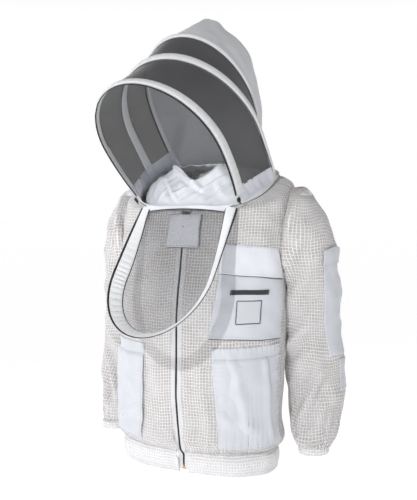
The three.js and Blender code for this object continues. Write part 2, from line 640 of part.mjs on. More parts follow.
function addDoor() {
  const start = 1 - (DOOR.top * (1 - ARCH_SHARE)) / (DOOR_ARCH.waist * DOOR_ARCH.length);
  const netting = (u, v) => {
    const [x, down] = doorEdge(mix(start, DOOR_TIP, v), DOOR.wall + 1);
    const across = 2 * u - 1;
    const extra = 8 * (1 - across * across) * smooth(down / DOOR.deepAt);
    return doorPlace(x * across, down, doorDepth(down, across * 0.85) + extra);
  };
  addSheet("door_netting", FINISH.doorVeil, netting, { columns: 8, rows: 14, thickness: VEIL });
  const frames = Array.from({ length: HOOP_STEPS + 1 }, (_, i) => {
    const s = mix(-start, start, i / HOOP_STEPS);
    const [outerX, outerDown] = doorEdge(s, 0);
    const [innerX, innerDown] = doorEdge(s, DOOR.wall);
    const outer = doorPlace(outerX, outerDown, 0);
    const inner = doorPlace(innerX, innerDown, doorDepth(innerDown, 0.85));
    const next = doorPlace(...doorEdge(s + FINE, 0), 0);
    const across = inner.clone().sub(outer).normalize();
    const out = next.sub(outer).cross(across).normalize();
    return { origin: outer.clone().lerp(inner, 0.5), across, out, half: outer.distanceTo(inner) / 2 };
  });
  const halfWall = 12.2;
  addSweep("door_binding", FINISH.binding, frames, ellipseSection(halfWall, 3, 6), ellipseSection(CHANNEL.hole, CHANNEL.hole, 6));
  addSweep("door_stay", FINISH.steel, frames, ellipseSection(STAY_RADIUS, STAY_RADIUS, 6));
  const zipFrames = frames.map((frame) => ({
    ...frame,
    origin: frame.origin.clone().addScaledVector(frame.across, -frame.half - 2.5),
  }));
  addSweep("veil_zip_door_half", FINISH.zip, zipFrames, ellipseSection(2.4, 1.4, 6));
}

// The strip of poplin that joins the front veil's top edge to the hood's half of the neck zip.
function addDoorBase() {
  const strip = (u, v) => {
    const across = 2 * u - 1;
    const x = across * (DOOR_ARCH.x - 14);
    const low = ringPoint(angleOfX(x, NECK_LEVEL), 11);
    const high = doorPlace(x, DOOR.top - 3, doorDepth(DOOR.top - 3, across));
    const middle = low.clone().lerp(high, 0.5);
    middle.z += 9;
    middle.y -= 1;
    return new THREE.QuadraticBezierCurve3(low, middle, high).getPoint(THREE.MathUtils.clamp(v, 0, 1));
  };
  addSheet("door_base_strip", FINISH.poplin, strip, { columns: 12, rows: 3, thickness: POPLIN });
}

addBodyPanels();
addWaistband();
addCollar();
addMainZip();
addMainZipSlider();
addNeckZip();
addPockets();
addSleeve("left", 1);
addSleeve("right", -1);
addSleevePatches();
addHoop("front", HOOP_FRONT, HOOP_MID, 1, 24);
addHoop("mid", HOOP_MID, HOOP_REAR, 1, 24);
addHoop("rear", HOOP_REAR, HOOP_MID, 1, 13);
addHoodSides();
addGores();
addHoodBack();
addVeilZipHoodHalf();
addDoor();
addDoorBase();

export default jacket;
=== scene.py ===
"""Looks of a ventilated beekeeping jacket with a hooped veil hood, its front veil unzipped and dropped.

Shapes are worked out in millimetres in the jacket's frame: +Z up, the wearer faces -Y, the wearer's
left is +X, and the origin is the middle of the neckline. Grids of points are indexed [row, column, xyz],
and a grid's columns cross its rows so that the cloth's outer face points out.
"""
import math

import bmesh
import bpy
import numpy as np
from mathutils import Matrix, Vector

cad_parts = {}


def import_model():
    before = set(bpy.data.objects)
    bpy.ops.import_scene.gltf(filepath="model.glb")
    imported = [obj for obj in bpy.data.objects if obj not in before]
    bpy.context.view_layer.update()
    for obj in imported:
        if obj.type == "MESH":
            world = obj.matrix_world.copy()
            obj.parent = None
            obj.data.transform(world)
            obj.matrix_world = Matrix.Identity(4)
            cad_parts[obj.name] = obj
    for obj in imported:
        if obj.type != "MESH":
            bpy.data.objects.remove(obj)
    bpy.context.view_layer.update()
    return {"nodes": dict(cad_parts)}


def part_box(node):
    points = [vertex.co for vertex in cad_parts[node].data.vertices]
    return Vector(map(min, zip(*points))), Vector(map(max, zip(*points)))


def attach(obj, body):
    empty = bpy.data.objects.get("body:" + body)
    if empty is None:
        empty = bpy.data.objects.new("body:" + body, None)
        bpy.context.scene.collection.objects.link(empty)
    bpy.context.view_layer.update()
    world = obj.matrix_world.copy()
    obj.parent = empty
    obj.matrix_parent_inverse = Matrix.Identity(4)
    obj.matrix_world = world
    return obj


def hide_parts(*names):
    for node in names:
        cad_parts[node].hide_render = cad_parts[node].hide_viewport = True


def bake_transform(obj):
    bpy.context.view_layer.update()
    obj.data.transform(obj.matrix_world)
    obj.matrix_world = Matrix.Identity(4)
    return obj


MM = 0.001

# ---------- driving dimensions, in mm and degrees ----------
FRONT_ARC = {"radius": 1357, "z": -430, "y": -157}     # the front centre line
LEVEL_TILT_REACH = 110                                 # how far forward a level meets that line
# Body stations from hem to neckline: level, slope, half width, back, y of the widest place, squareness.
STATIONS = np.array([
    (-713, 0.09, 218, 78, -25, 2.3),
    (-656, 0.09, 224, 84, -25, 2.3),
    (-600, 0.05, 231, 92, -24, 2.35),
    (-447, 0.02, 233, 100, -22, 2.4),
    (-312, 0.01, 235, 108, -14, 2.4),
    (-200, 0.02, 240, 114, -2, 2.4),
    (-136, 0.06, 244, 117, 8, 2.5),
    (-60, 0.16, 247, 118, 26, 2.6),
    (-8, 0.32, 244, 118, 42, 2.8),
    (8, 0.44, 236, 118, 45, 2.9),
    (14, 0.49, 222, 118, 45, 2.95),
    (18.5, 0.52, 194, 118, 45, 3),
])
MM_PER_DEGREE = 6.6                                    # cloth per degree round the body at the waist
NECK_LEVEL = 18.5
WAIST_LEVEL = -656
HEM_LEVEL = -713
ARMHOLE_LEVEL, ARMHOLE_HALF = -93.5, 97.5
ARMHOLE_FRONT, ARMHOLE_BACK = 13, 36                   # its reach from the side seam, in degrees
SIDE_LIMIT = 3                                         # patches on the front stop this far from the side seam
SEAM_GAP = 0.05                                        # between neighbouring panels at a seam, in degrees
ZIP_HALF = 14                                          # half width of the strip that the main zip fills
COIL_HALF = 2.4
MAIN_ZIP = (-716, -46)

# Sleeve sections from shoulder to wrist: outermost point, innermost point, half width front to back.
SLEEVE = np.array([
    (284, 54, 8, 246, 22, -186, 77),
    (327, 60, -52, 234, 36, -198, 80),
    (347, 70, -125, 212, 60, -215, 81),
    (351, 73, -215, 206, 73, -245, 80),
    (355, 73, -321, 212, 73, -325, 78),
    (368, 83, -421, 216, 83, -421, 76),
    (370, 79, -510, 222, 79, -510, 72),
    (367, 68, -580, 233, 68, -580, 66),
    (361, 52, -630, 248, 52, -630, 58),
    (350, 34, -651, 273, 34, -651, 42),
], float)
SLEEVE_CLEAR = 3.2
SLEEVE_WEAVE = {"x": 272, "y": 50, "top": 6, "lean_x": 0.052, "lean_y": 0.033, "radius": 78, "dome": 50}
# Folds of the worn sleeve: from, to, width and height.
SLEEVE_FOLDS = [
    ((344, 10, -440), (286, -2, -572), 12, 11.0),
    ((358, 24, -500), (318, 0, -612), 11, 8.0),
    ((330, 4, -380), (258, 16, -455), 15, 8.0),
    ((310, -14, -330), (236, 30, -400), 14, 7.0),
    ((270, -34, -40), (234, -24, -190), 13, 9.0),
    ((305, -20, -70), (248, -14, -215), 16, 8.0),
    ((338, 0, -130), (262, -10, -270), 18, 8.0),
    ((352, 10, -240), (292, -8, -350), 18, 6.0),
    ((356, 100, -200), (300, 150, -330), 22, 8.0),
    ((340, 120, -330), (250, 150, -470), 20, 9.0),
    ((330, 140, -130), (250, 140, -230), 18, 8.0),
    ((366, 90, -400), (362, 50, -540), 15, 7.0),
    ((330, 140, -500), (280, 120, -600), 18, 8.0),
]
CUFF = {"x": 311.5, "y": 30, "top": -650, "bottom": -671, "radius_x": 36, "radius_y": 38}

# Hoops: planar arches on the neckline. lean is from upright, towards the front.
HOOP_FRONT = {"x": 142.7, "y": -81.9, "z": -15.5, "lean": 47, "length": 413, "half": 165, "waist": 0.48}
HOOP_MID = {"x": 193.7, "y": 45.4, "z": 44, "lean": 42.4, "length": 406, "half": 196, "waist": 0.42}
HOOP_REAR = {"x": 128, "y": 105.6, "z": 85, "lean": 35.2, "length": 410, "half": 151, "waist": 0.52}
ARCH_SHARE = 0.6
SKIRT_SHARE = 0.88
FOOT = 0.93
HOOD_BACK_SEAM = np.array([(0.0, 140, 300), (0, 165, 470), (0, 20, 493)])
HOOD_BACK_ROUND = 0.8
HOOD_HEART = np.array([0.0, 0, 190])
HOOD_FOOT = 10                                         # the hood's cloth starts this far above the neckline
FOOT_ANGLES = {"front": 48.5, "rear": -57.6}           # where the front and rear hoops stand on the neckline
PEAK_ROUND = {"above": 476, "within": 14}              # the hood's peak rounds off above this height
GORE_PUFF = 2
GORE_TUCK = 20                                         # the netting starts this far behind its hoop
RING_UP = np.array([0, -0.461, 0.887])
DOOR_ARCH = {**HOOP_FRONT, "x": 140, "half": 145, "waist": 0.55}        # it hangs narrower than its hoop
DOOR = {"drop": 38.3, "wall": 26, "depth": 24, "deep_at": 220, "bulge": 22, "bulge_end": 110, "top": 30}

# Corners [x, z] of what is sewn on the front: lower left, lower right, upper right, upper left.
CHEST_POCKET = [(92, -361), (240, -363), (240, -212), (114, -193)]
CHEST_FLAP = [(112, -194), (238.6, -208), (236, -129), (116, -118)]
HIP_POCKET = [(112, -644), (240, -632), (240, -376), (100, -386)]
ZIP_FLAP = [(-46, -130), (50, -130), (50, -44), (-46, -44)]
BADGE = [(158, -322), (208, -320), (210, -262), (160, -264)]
LABEL = [(142, -248), (221, -247), (222, -235), (143, -236)]
POCKET_TOP = 4.4                                       # how far the chest pocket stands out from the panel

WEAVE = 0.0082                                         # pitch of the mesh cloth's square grid, in metres


# ---------- numbers ----------
def smooth(t):
    t = np.clip(t, 0, 1)
    return t * t * (3 - 2 * t)


def mix(a, b, t):
    return a + (b - a) * t


def signed_power(value, power):
    return np.sign(value) * np.abs(value) ** power


def stack(*parts):
    return np.stack(np.broadcast_arrays(*parts), axis=-1)


def hump(distance, width):
    return np.exp(-((distance / width) ** 2))


def curve_through(x, xs, ys):
    """A smooth curve through points, which doesn't swing past them."""
    step = np.diff(xs)
    slope = np.diff(ys) / step
    product = slope[:-1] * slope[1:]
    total = slope[:-1] + slope[1:]
    inner = np.where(product > 0, 2 * product / np.where(total == 0, 1, total), 0)
    tangent = np.concatenate([slope[:1], inner, slope[-1:]])
    i = np.clip(np.searchsorted(xs, x) - 1, 0, len(xs) - 2)
    t = np.clip((x - xs[i]) / step[i], 0, 1)
    low = ys[i] * (1 + 2 * t) * (1 - t) ** 2 + tangent[i] * step[i] * t * (1 - t) ** 2
    high = ys[i + 1] * (3 - 2 * t) * t * t - tangent[i + 1] * step[i] * (1 - t) * t * t
    return low + high


def wobble(points, size, seed, waves=8):
    """Smooth irregular numbers, mostly -1 to 1, with lumps of the given size."""
    draw = np.random.default_rng(seed)
    total = np.zeros(points.shape[:-1])
    for _ in range(waves):
        direction = draw.normal(size=points.shape[-1])
        direction /= np.linalg.norm(direction)
        wave = size * draw.uniform(1.4, 3.2)
        total += np.sin(points @ direction * (2 * math.pi / wave) + draw.uniform(0, 2 * math.pi))
    return total / math.sqrt(waves)


def fold(points, start, end, width, height):
    """A soft fold along the line from start to end: a ridge with a shallow valley beside it."""
    a, b = np.array(start, float), np.array(end, float)
    along = b - a
    beside = np.cross(along, [0, -1.0, 0])
    beside /= np.linalg.norm(beside)
    deep = np.cross(along, beside) / np.linalg.norm(along)
    offset = points - a
    t = (offset @ along) / (along @ along)
    side = offset @ beside
    fade = smooth((t + 0.15) / 0.3) * smooth((1.15 - t) / 0.3) * hump(offset @ deep, 60)
    return height * fade * (hump(side, width) - 0.7 * hump(side - 1.7 * width, width))


def folded(points, folds, sign=1):
    """The sum of several folds, each a start, an end, a width and a height; a sign of -1 mirrors them."""
    side = np.array([sign, 1, 1])
    total = np.zeros(points.shape[:-1])
    for start, end, width, height in folds:
        total += fold(points, np.array(start) * side, np.array(end) * side, width, height)
    return total


def ripple(length, wave, seed):
    """Uneven gathers along a length, from 0 to 1, with rounded tops and sharp valleys."""
    line = np.asarray(length, float)
    bent = line + 0.45 * wave * wobble(stack(line, 0 * line), wave * 3, seed)
    return np.abs(np.cos(math.pi * bent / wave)) ** 0.8


# ---------- the body ----------
def station_at(level):
    level = np.clip(level, HEM_LEVEL, NECK_LEVEL)
    return [curve_through(level, STATIONS[:, 0], STATIONS[:, k]) for k in range(1, 6)]


def front_line(z):
    reach = np.sqrt(FRONT_ARC["radius"] ** 2 - (z - FRONT_ARC["z"]) ** 2)
    return FRONT_ARC["y"] + FRONT_ARC["radius"] - reach


def body_point(angle, level):
    """Angle 0 is the wearer's left side, 90 the front centre and 270 the back centre."""
    slope, half, back, wide, square = station_at(level)
    front = front_line(level - LEVEL_TILT_REACH * slope)
    c, s = np.cos(np.radians(angle)), np.sin(np.radians(angle))
    depth = np.where(s > 0, wide - front, back - wide)
    y = wide - depth * signed_power(s, 2 / square)
    return stack(half * signed_power(c, 2 / square), y, level + slope * y)


def level_of(y, z):
    level = z + 0 * y
    for _ in range(8):
        level = z - station_at(level)[0] * y
    return level


def angle_of_x(x, level):
    _, half, _, _, square = station_at(level)
    return np.degrees(np.arccos(signed_power(np.clip(x / half, -1, 1), square / 2)))


def front_address(x, z):
    """The angle and level of the front's point at x and z."""
    y = -120.0 + 0 * z
    for _ in range(8):
        level = level_of(y, z)
        y = body_point(angle_of_x(x, level), level)[..., 1]
    return np.clip(angle_of_x(x, level), SIDE_LIMIT, 180 - SIDE_LIMIT), level


def front_point(x, z):
    return body_point(*front_address(x, z))


def armhole_angle(level, reach_angle):
    reach = np.clip((level - ARMHOLE_LEVEL) / ARMHOLE_HALF, -1, 1)
    return reach_angle * np.sqrt(1 - reach * reach)


def ring_point(angle, up):
    """A point of the neckline, raised along the ring's own upward direction."""
    return body_point(angle, NECK_LEVEL + 0 * angle) + np.asarray(up, float)[..., None] * RING_UP


# ---------- grids of points ----------
def grid(surface, columns, rows):
    u, v = np.meshgrid(np.linspace(0, 1, columns + 1), np.linspace(0, 1, rows + 1))
    return surface(u, v)


def mirrored(points):
    return points[:, ::-1] * np.array([-1.0, 1, 1])


def on_side(points, sign):
    return points if sign > 0 else mirrored(points)


def normals(points, wrap=False):
    if wrap:
        padded = np.concatenate([points[:, -2:-1], points, points[:, 1:2]], axis=1)
        across = np.gradient(padded, axis=1)[:, 1:-1]
    else:
        across = np.gradient(points, axis=1)
    normal = np.cross(across, np.gradient(points, axis=0))
    return normal / np.maximum(np.linalg.norm(normal, axis=-1, keepdims=True), 1e-9)


def raised(points, height, wrap=False):
    return points + normals(points, wrap) * np.asarray(height)[..., None]


def lengths(points, axis):
    step = np.linalg.norm(np.diff(points, axis=axis), axis=-1)
    first = np.zeros_like(np.take(step, [0], axis=axis))
    return np.concatenate([first, np.cumsum(step, axis=axis)], axis=axis)


def flat_uv(points):
    return np.stack([lengths(points, 1), lengths(points, 0)], axis=-1)


def link(name, mesh, material):
    piece = bpy.data.objects.new(name, mesh)
    bpy.context.scene.collection.objects.link(piece)
    mesh.materials.append(material)
    mesh.polygons.foreach_set("use_smooth", np.ones(len(mesh.polygons), bool))
    return piece


def add_grid(name, points, material, uv=None, wrap=False, thickness=0.0):
    """A piece from a grid of points in mm. With thickness it becomes a closed sheet."""
    rows, columns = points.shape[0] - 1, points.shape[1] - 1
    across = columns if wrap else columns + 1
    kept = points[:, :-1] if wrap else points
    i, j = np.meshgrid(np.arange(columns), np.arange(rows))

    def corners(width):
        steps = [(0, 0), (0, 1), (1, 1), (1, 0)]
        return np.stack([(j + a) * width + (i + b) % width for a, b in steps], -1).reshape(-1, 4)

    mesh = bpy.data.meshes.new(name)
    mesh.from_pydata((kept.reshape(-1, 3) * MM).tolist(), [], corners(across).tolist())
    uv = flat_uv(points) if uv is None else uv
    layer = mesh.uv_layers.new(name="UVMap")
    layer.data.foreach_set("uv", (uv.reshape(-1, 2)[corners(columns + 1).ravel()] * MM).ravel())
    piece = link(name, mesh, material)
    if thickness:
        solid = piece.modifiers.new("thickness", "SOLIDIFY")
        solid.thickness = thickness * MM
        solid.offset = 0
    return piece


def add_faces(name, points, faces, material, uv=None):
    """A closed piece from points in mm and faces, turned to face out."""
    mesh = bpy.data.meshes.new(name)
    mesh.from_pydata((np.asarray(points) * MM).tolist(), [], faces)
    if uv is not None:
        loops = np.empty(len(mesh.loops), int)
        mesh.loops.foreach_get("vertex_index", loops)
        layer = mesh.uv_layers.new(name="UVMap")
        layer.data.foreach_set("uv", (np.asarray(uv)[loops] * MM).ravel())
    work = bmesh.new()
    work.from_mesh(mesh)
    bmesh.ops.recalc_face_normals(work, faces=work.faces)
    work.to_mesh(mesh)
    work.free()
    return link(name, mesh, material)


def add_sweep(name, frames, section, material):
    """Sweeps a closed section (frames or one, sides, 2) along frames (origins, across, out)."""
    origin, across, out = frames
    section = np.broadcast_to(section, (len(origin),) + np.shape(section)[-2:])
    points = origin[:, None] + across[:, None] * section[..., :1] + out[:, None] * section[..., 1:]
    count, sides = points.shape[:2]
    ring = np.arange(sides)
    faces = []
    for j in range(count - 1):
        a, b = j * sides + ring, j * sides + (ring + 1) % sides
        faces += np.stack([a, b, b + sides, a + sides], -1).tolist()
    faces += [ring.tolist(), ((count - 1) * sides + ring).tolist()]
    along = lengths(origin[None], 1)[0]
    around = lengths(np.concatenate([section[0], section[0][:1]])[None], 1)[0][:-1]
    uv = stack(np.tile(around, count), np.repeat(along, sides))
    return add_faces(name, points.reshape(-1, 3), faces, material, uv)


def ellipse(half_a, half_n, sides):
    turn = 2 * math.pi * np.arange(sides) / sides
    return stack(half_a * np.cos(turn), half_n * np.sin(turn))


def walk(line, step):
    """Points every step along a line, with the direction of travel there."""
    run = lengths(line[None], 1)[0]
    places = np.arange(step / 2, run[-1], step)
    points = np.stack([np.interp(places, run, line[:, k]) for k in range(3)], -1)
    ahead = np.gradient(points, axis=0)
    return points, ahead / np.maximum(np.linalg.norm(ahead, axis=-1, keepdims=True), 1e-9)


BEAD_TURNS = 2 * math.pi * np.arange(6) / 6
BEAD = np.array(
    [(-1, 0, 0)]
    + [(-0.55, math.cos(t), math.sin(t)) for t in BEAD_TURNS]
    + [(0.55, math.cos(t), math.sin(t)) for t in BEAD_TURNS]
    + [(1, 0, 0)]
)
BEAD_FACES = (
    [(0, 1 + (k + 1) % 6, 1 + k) for k in range(6)]
    + [(1 + k, 1 + (k + 1) % 6, 7 + (k + 1) % 6, 7 + k) for k in range(6)]
    + [(7 + k, 7 + (k + 1) % 6, 13) for k in range(6)]
)


def add_beads(name, groups, material):
    """Many small rounded bars. Each group is (centres, along, out, half size along, across and out)."""
    points, faces, count = [], [], 0
    for centres, along, out, (length, width, height) in groups:
        across = np.cross(out, along)
        across /= np.maximum(np.linalg.norm(across, axis=-1, keepdims=True), 1e-9)
        size = BEAD * (length, width, height)
        made = centres[:, None] + along[:, None] * size[:, :1] + across[:, None] * size[:, 1:2]
        made = made + out[:, None] * size[:, 2:]
        points.append(made.reshape(-1, 3))
        for _ in range(len(centres)):
            faces += [tuple(count + k for k in face) for face in BEAD_FACES]
            count += len(BEAD)
    return add_faces(name, np.concatenate(points), faces, material)


def line_beads(line, out, step, size, lift=0.0, shift=0.0):
    """Beads along a line whose outward directions are out, one every step."""
    centres, along = walk(line, step)
    run = lengths(line[None], 1)[0]
    places = np.arange(step / 2, run[-1], step)
    outward = np.stack([np.interp(places, run, out[:, k]) for k in range(3)], -1)
    outward /= np.linalg.norm(outward, axis=-1, keepdims=True)
    across = np.cross(outward, along)
    return centres + outward * lift + across * shift, along, outward, size


STITCH = (1.5, 0.38, 0.38)                             # half sizes of one stitch
STITCH_STEP = 4.2
TOOTH_STEP = 2.6


def add_stitches(name, points, material, rows=(), columns=(), lift=1.2, span=(0.02, 0.98)):
    """Sewing stitches along rows and columns of a grid, given as shares of it."""
    outward = normals(points)
    last_row, last_column = points.shape[0] - 1, points.shape[1] - 1
    first_c, end_c = (round(share * last_column) for share in span)
    first_r, end_r = (round(share * last_row) for share in span)
    groups = []
    for share in rows:
        j = round(share * last_row)
        cut = slice(first_c, end_c + 1)
        groups.append(line_beads(points[j, cut], outward[j, cut], STITCH_STEP, STITCH, lift))
    for share in columns:
        i = round(share * last_column)
        cut = slice(first_r, end_r + 1)
        groups.append(line_beads(points[cut, i], outward[cut, i], STITCH_STEP, STITCH, lift))
    return add_beads(name, groups, material)


def add_cord_line(name, line, radius, material):
    """A thin round piping along a line."""
    centres, along = walk(line, max(radius * 1.5, 1.5))
    up = np.where(np.abs(along[:, 2:]) > 0.9, [[1.0, 0, 0]], [[0, 0, 1.0]])
    across = np.cross(along, up)
    across /= np.linalg.norm(across, axis=-1, keepdims=True)
    out = np.cross(across, along)
    return add_sweep(name, (centres, across, out), ellipse(radius, radius, 8), material)


# ---------- materials ----------
class Recipe:
    """A material's node tree, with short calls for the nodes it uses."""

    def __init__(self, name):
        self.material = bpy.data.materials.new(name)
        self.material.use_nodes = True
        self.tree = self.material.node_tree
        self.tree.nodes.clear()

    def node(self, kind, inputs=(), **settings):
        made = self.tree.nodes.new("ShaderNode" + kind)
        for key, value in settings.items():
            setattr(made, key, value)
        for key, value in dict(inputs).items():
            if isinstance(value, bpy.types.NodeSocket):
                self.tree.links.new(value, made.inputs[key])
            else:
                made.inputs[key].default_value = value
        return made

    def math(self, operation, a, b=0.0):
        return self.node("Math", {0: a, 1: b}, operation=operation).outputs[0]

    def ramp(self, value, low, high):
        """0 at low and 1 at high, smoothly."""
        inputs = {"Value": value, "From Min": low, "From Max": high}
        return self.node("MapRange", inputs, interpolation_type="SMOOTHSTEP").outputs[0]

    def noise(self, scale, detail=2.0):
        place = self.node("TexCoord").outputs["Object"]
        return self.node("TexNoise", {"Vector": place, "Scale": scale, "Detail": detail}).outputs["Fac"]

    def blend(self, factor, a, b):
        made = self.node("Mix", data_type="RGBA")
        for socket, value in ((made.inputs[0], factor), (made.inputs[6], a), (made.inputs[7], b)):
            if isinstance(value, bpy.types.NodeSocket):
                self.tree.links.new(value, socket)
            else:
                socket.default_value = value if socket.type == "VALUE" else (*value[:3], 1)
        return made.outputs[2]

    def threads(self, pitch, width, soft=0.08, shift=0.0):
        """Masks of the threads across u and across v, on a square grid of the given pitch."""
        spot = self.node("SeparateXYZ", {0: self.node("UVMap").outputs[0]})
        masks = []
        for axis in (0, 1):
            moved = self.math("ADD", spot.outputs[axis], shift)
            scaled = self.math("DIVIDE", moved, pitch)
            off = self.math("PINGPONG", scaled, 0.5)
            masks.append(self.ramp(off, width / 2 + soft, width / 2 - soft))
        return masks

    def bump(self, height, distance, strength=1.0, normal=None):
        inputs = {"Height": height, "Distance": distance, "Strength": strength}
        if normal:
            inputs["Normal"] = normal
        return self.node("Bump", inputs).outputs[0]

    def surface(self, color, roughness, normal=None, metallic=0.0, sheen=0.0):
        inputs = {"Base Color": color if isinstance(color, bpy.types.NodeSocket) else (*color, 1)}
        inputs.update({"Roughness": roughness, "Metallic": metallic, "Sheen Weight": sheen})
        if normal:
            inputs["Normal"] = normal
        return self.node("BsdfPrincipled", inputs).outputs[0]

    def done(self, shader):
        self.node("OutputMaterial", {"Surface": shader})
        return self.material


def mesh_material(name, cord, hole_tone_and_shade, pitch, width=0.42, depth=0.0012):
    """Square open mesh: raised, slightly wavering cords over a soft inner layer with finer threads, with
    painted shade in the holes, in the gaps between the finer threads and in the cords' dips.
    """
    r = Recipe(name)
    bend = r.noise(60, 2)
    swing = r.math("MULTIPLY", r.math("SUBTRACT", bend, 0.5), pitch * 0.45)
    across, down = r.threads(pitch, width, shift=swing)
    cords = r.math("MAXIMUM", across, down)
    fine_a, fine_b = r.threads(pitch / 4, 0.5)
    fine = r.math("MAXIMUM", fine_a, fine_b)
    patches = r.ramp(r.noise(17, 3), 0.38, 0.62)
    lumps = r.noise(420, 1)
    cells = r.ramp(r.noise(130, 1), 0.35, 0.65)
    # The holes show the inner layer's own tone darkened by painted shade; deep, between its finer threads, is
    # painted shade deeper still.
    deep = [channel * 0.80 for channel in hole_tone_and_shade]
    warm = [min(channel * factor, 1) for channel, factor in zip(hole_tone_and_shade, (1.12, 1.05, 1.02))]
    pale = [mix(a, b, 0.45) for a, b in zip(hole_tone_and_shade, cord)]
    ground = r.blend(r.math("MULTIPLY", fine, 0.7), deep, warm)
    ground = r.blend(r.math("MULTIPLY", patches, 0.6), ground, pale)
    ground = r.blend(r.math("MULTIPLY", cells, 0.35), ground, pale)
    # The cords are painted darker where their lumps dip, which is where the bump sinks: painted shade.
    cord_dip_shade = [channel * 0.90 for channel in cord]
    color = r.blend(cords, ground, r.blend(lumps, cord_dip_shade, cord))
    height = r.math("ADD", cords, r.math("MULTIPLY", fine, 0.2))
    height = r.math("ADD", height, r.math("MULTIPLY", lumps, 0.5))
    return r.done(r.surface(color, 0.92, r.bump(height, depth), sheen=0.15))


def poplin_material(name, color, shade=0.96):
    """Close plain weave with faint creases, painted darker in their valleys as shade."""
    r = Recipe(name)
    across, down = r.threads(0.0009, 0.6, 0.2)
    weave = r.math("ADD", across, down)
    creases = r.noise(26, 4)
    # tone darkens where the crease noise is low, where the soft bump sinks: painted shade in the creases.
    tone = r.blend(r.ramp(creases, 0.3, 0.72), [c * shade for c in color], color)
    soft = r.bump(creases, 0.006, 0.25)
    return r.done(r.surface(tone, 0.78, r.bump(weave, 0.0002, 0.5, soft), sheen=0.1))


def webbing_material(name, color):
    """Ribbed white webbing: ribs across the band with finer warp threads, painted darker in the grooves
    between the ribs as shade.
    """
    r = Recipe(name)
    across, down = r.threads(0.0016, 0.5, 0.2)
    spot = r.node("SeparateXYZ", {0: r.node("UVMap").outputs[0]})
    rib = r.math("PINGPONG", r.math("DIVIDE", spot.outputs[1], 0.0036), 0.5)
    ribs = r.ramp(rib, 0.05, 0.3)
    # The narrow grooves between the ribs, where the bump sinks, are painted darker: painted shade.
    tone = r.blend(ribs, [c * 0.80 for c in color], color)
    tone = r.blend(r.math("MULTIPLY", across, 0.18), tone, [c * 0.7 for c in color])
    height = r.math("ADD", ribs, r.math("MULTIPLY", down, 0.3))
    return r.done(r.surface(tone, 0.7, r.bump(height, 0.0006), sheen=0.1))


def netting_material(name, color, pitch, width):
    """See-through netting: threads with open holes between them."""
    r = Recipe(name)
    across, down = r.threads(pitch, width, 0.12)
    thread = r.math("MAXIMUM", across, down)
    cover = r.ramp(thread, 0.0, 1.0)
    shade = r.noise(14, 2)
    tone = r.blend(shade, [c * 0.75 for c in color], [c * 1.2 for c in color])
    solid = r.surface(tone, 0.6, r.bump(thread, 0.0004))
    clear = r.node("BsdfTransparent").outputs[0]
    mixed = r.node("MixShader", {0: cover, 1: clear, 2: solid}).outputs[0]
    return r.done(mixed)


def plain_material(name, color, roughness, metallic=0.0, scale=400.0, change=0.25):
    """Plastic, metal or thread with fine unevenness and worn tone."""
    r = Recipe(name)
    grain = r.noise(scale, 3)
    broad = r.noise(scale / 12, 2)
    tone = r.blend(broad, [c * (1 - change) for c in color], color)
    rough = r.math("MULTIPLY_ADD", grain, 0.25)
    rough.node.inputs[2].default_value = roughness - 0.12
    return r.done(r.surface(tone, rough, r.bump(grain, 0.0002, 0.4), metallic))


def elastic_material(name, color):
    """Woven elastic with ribs along its width, painted darker in the grooves between the ribs as shade."""
    r = Recipe(name)
    spot = r.node("SeparateXYZ", {0: r.node("UVMap").outputs[0]})
    rib = r.ramp(r.math("PINGPONG", r.math("DIVIDE", spot.outputs[0], 0.0022), 0.5), 0.05, 0.35)
    # The grooves between the ribs, where the bump sinks, are painted darker: painted shade.
    tone = r.blend(rib, [c * 0.78 for c in color], color)
    return r.done(r.surface(tone, 0.85, r.bump(rib, 0.0005), sheen=0.1))


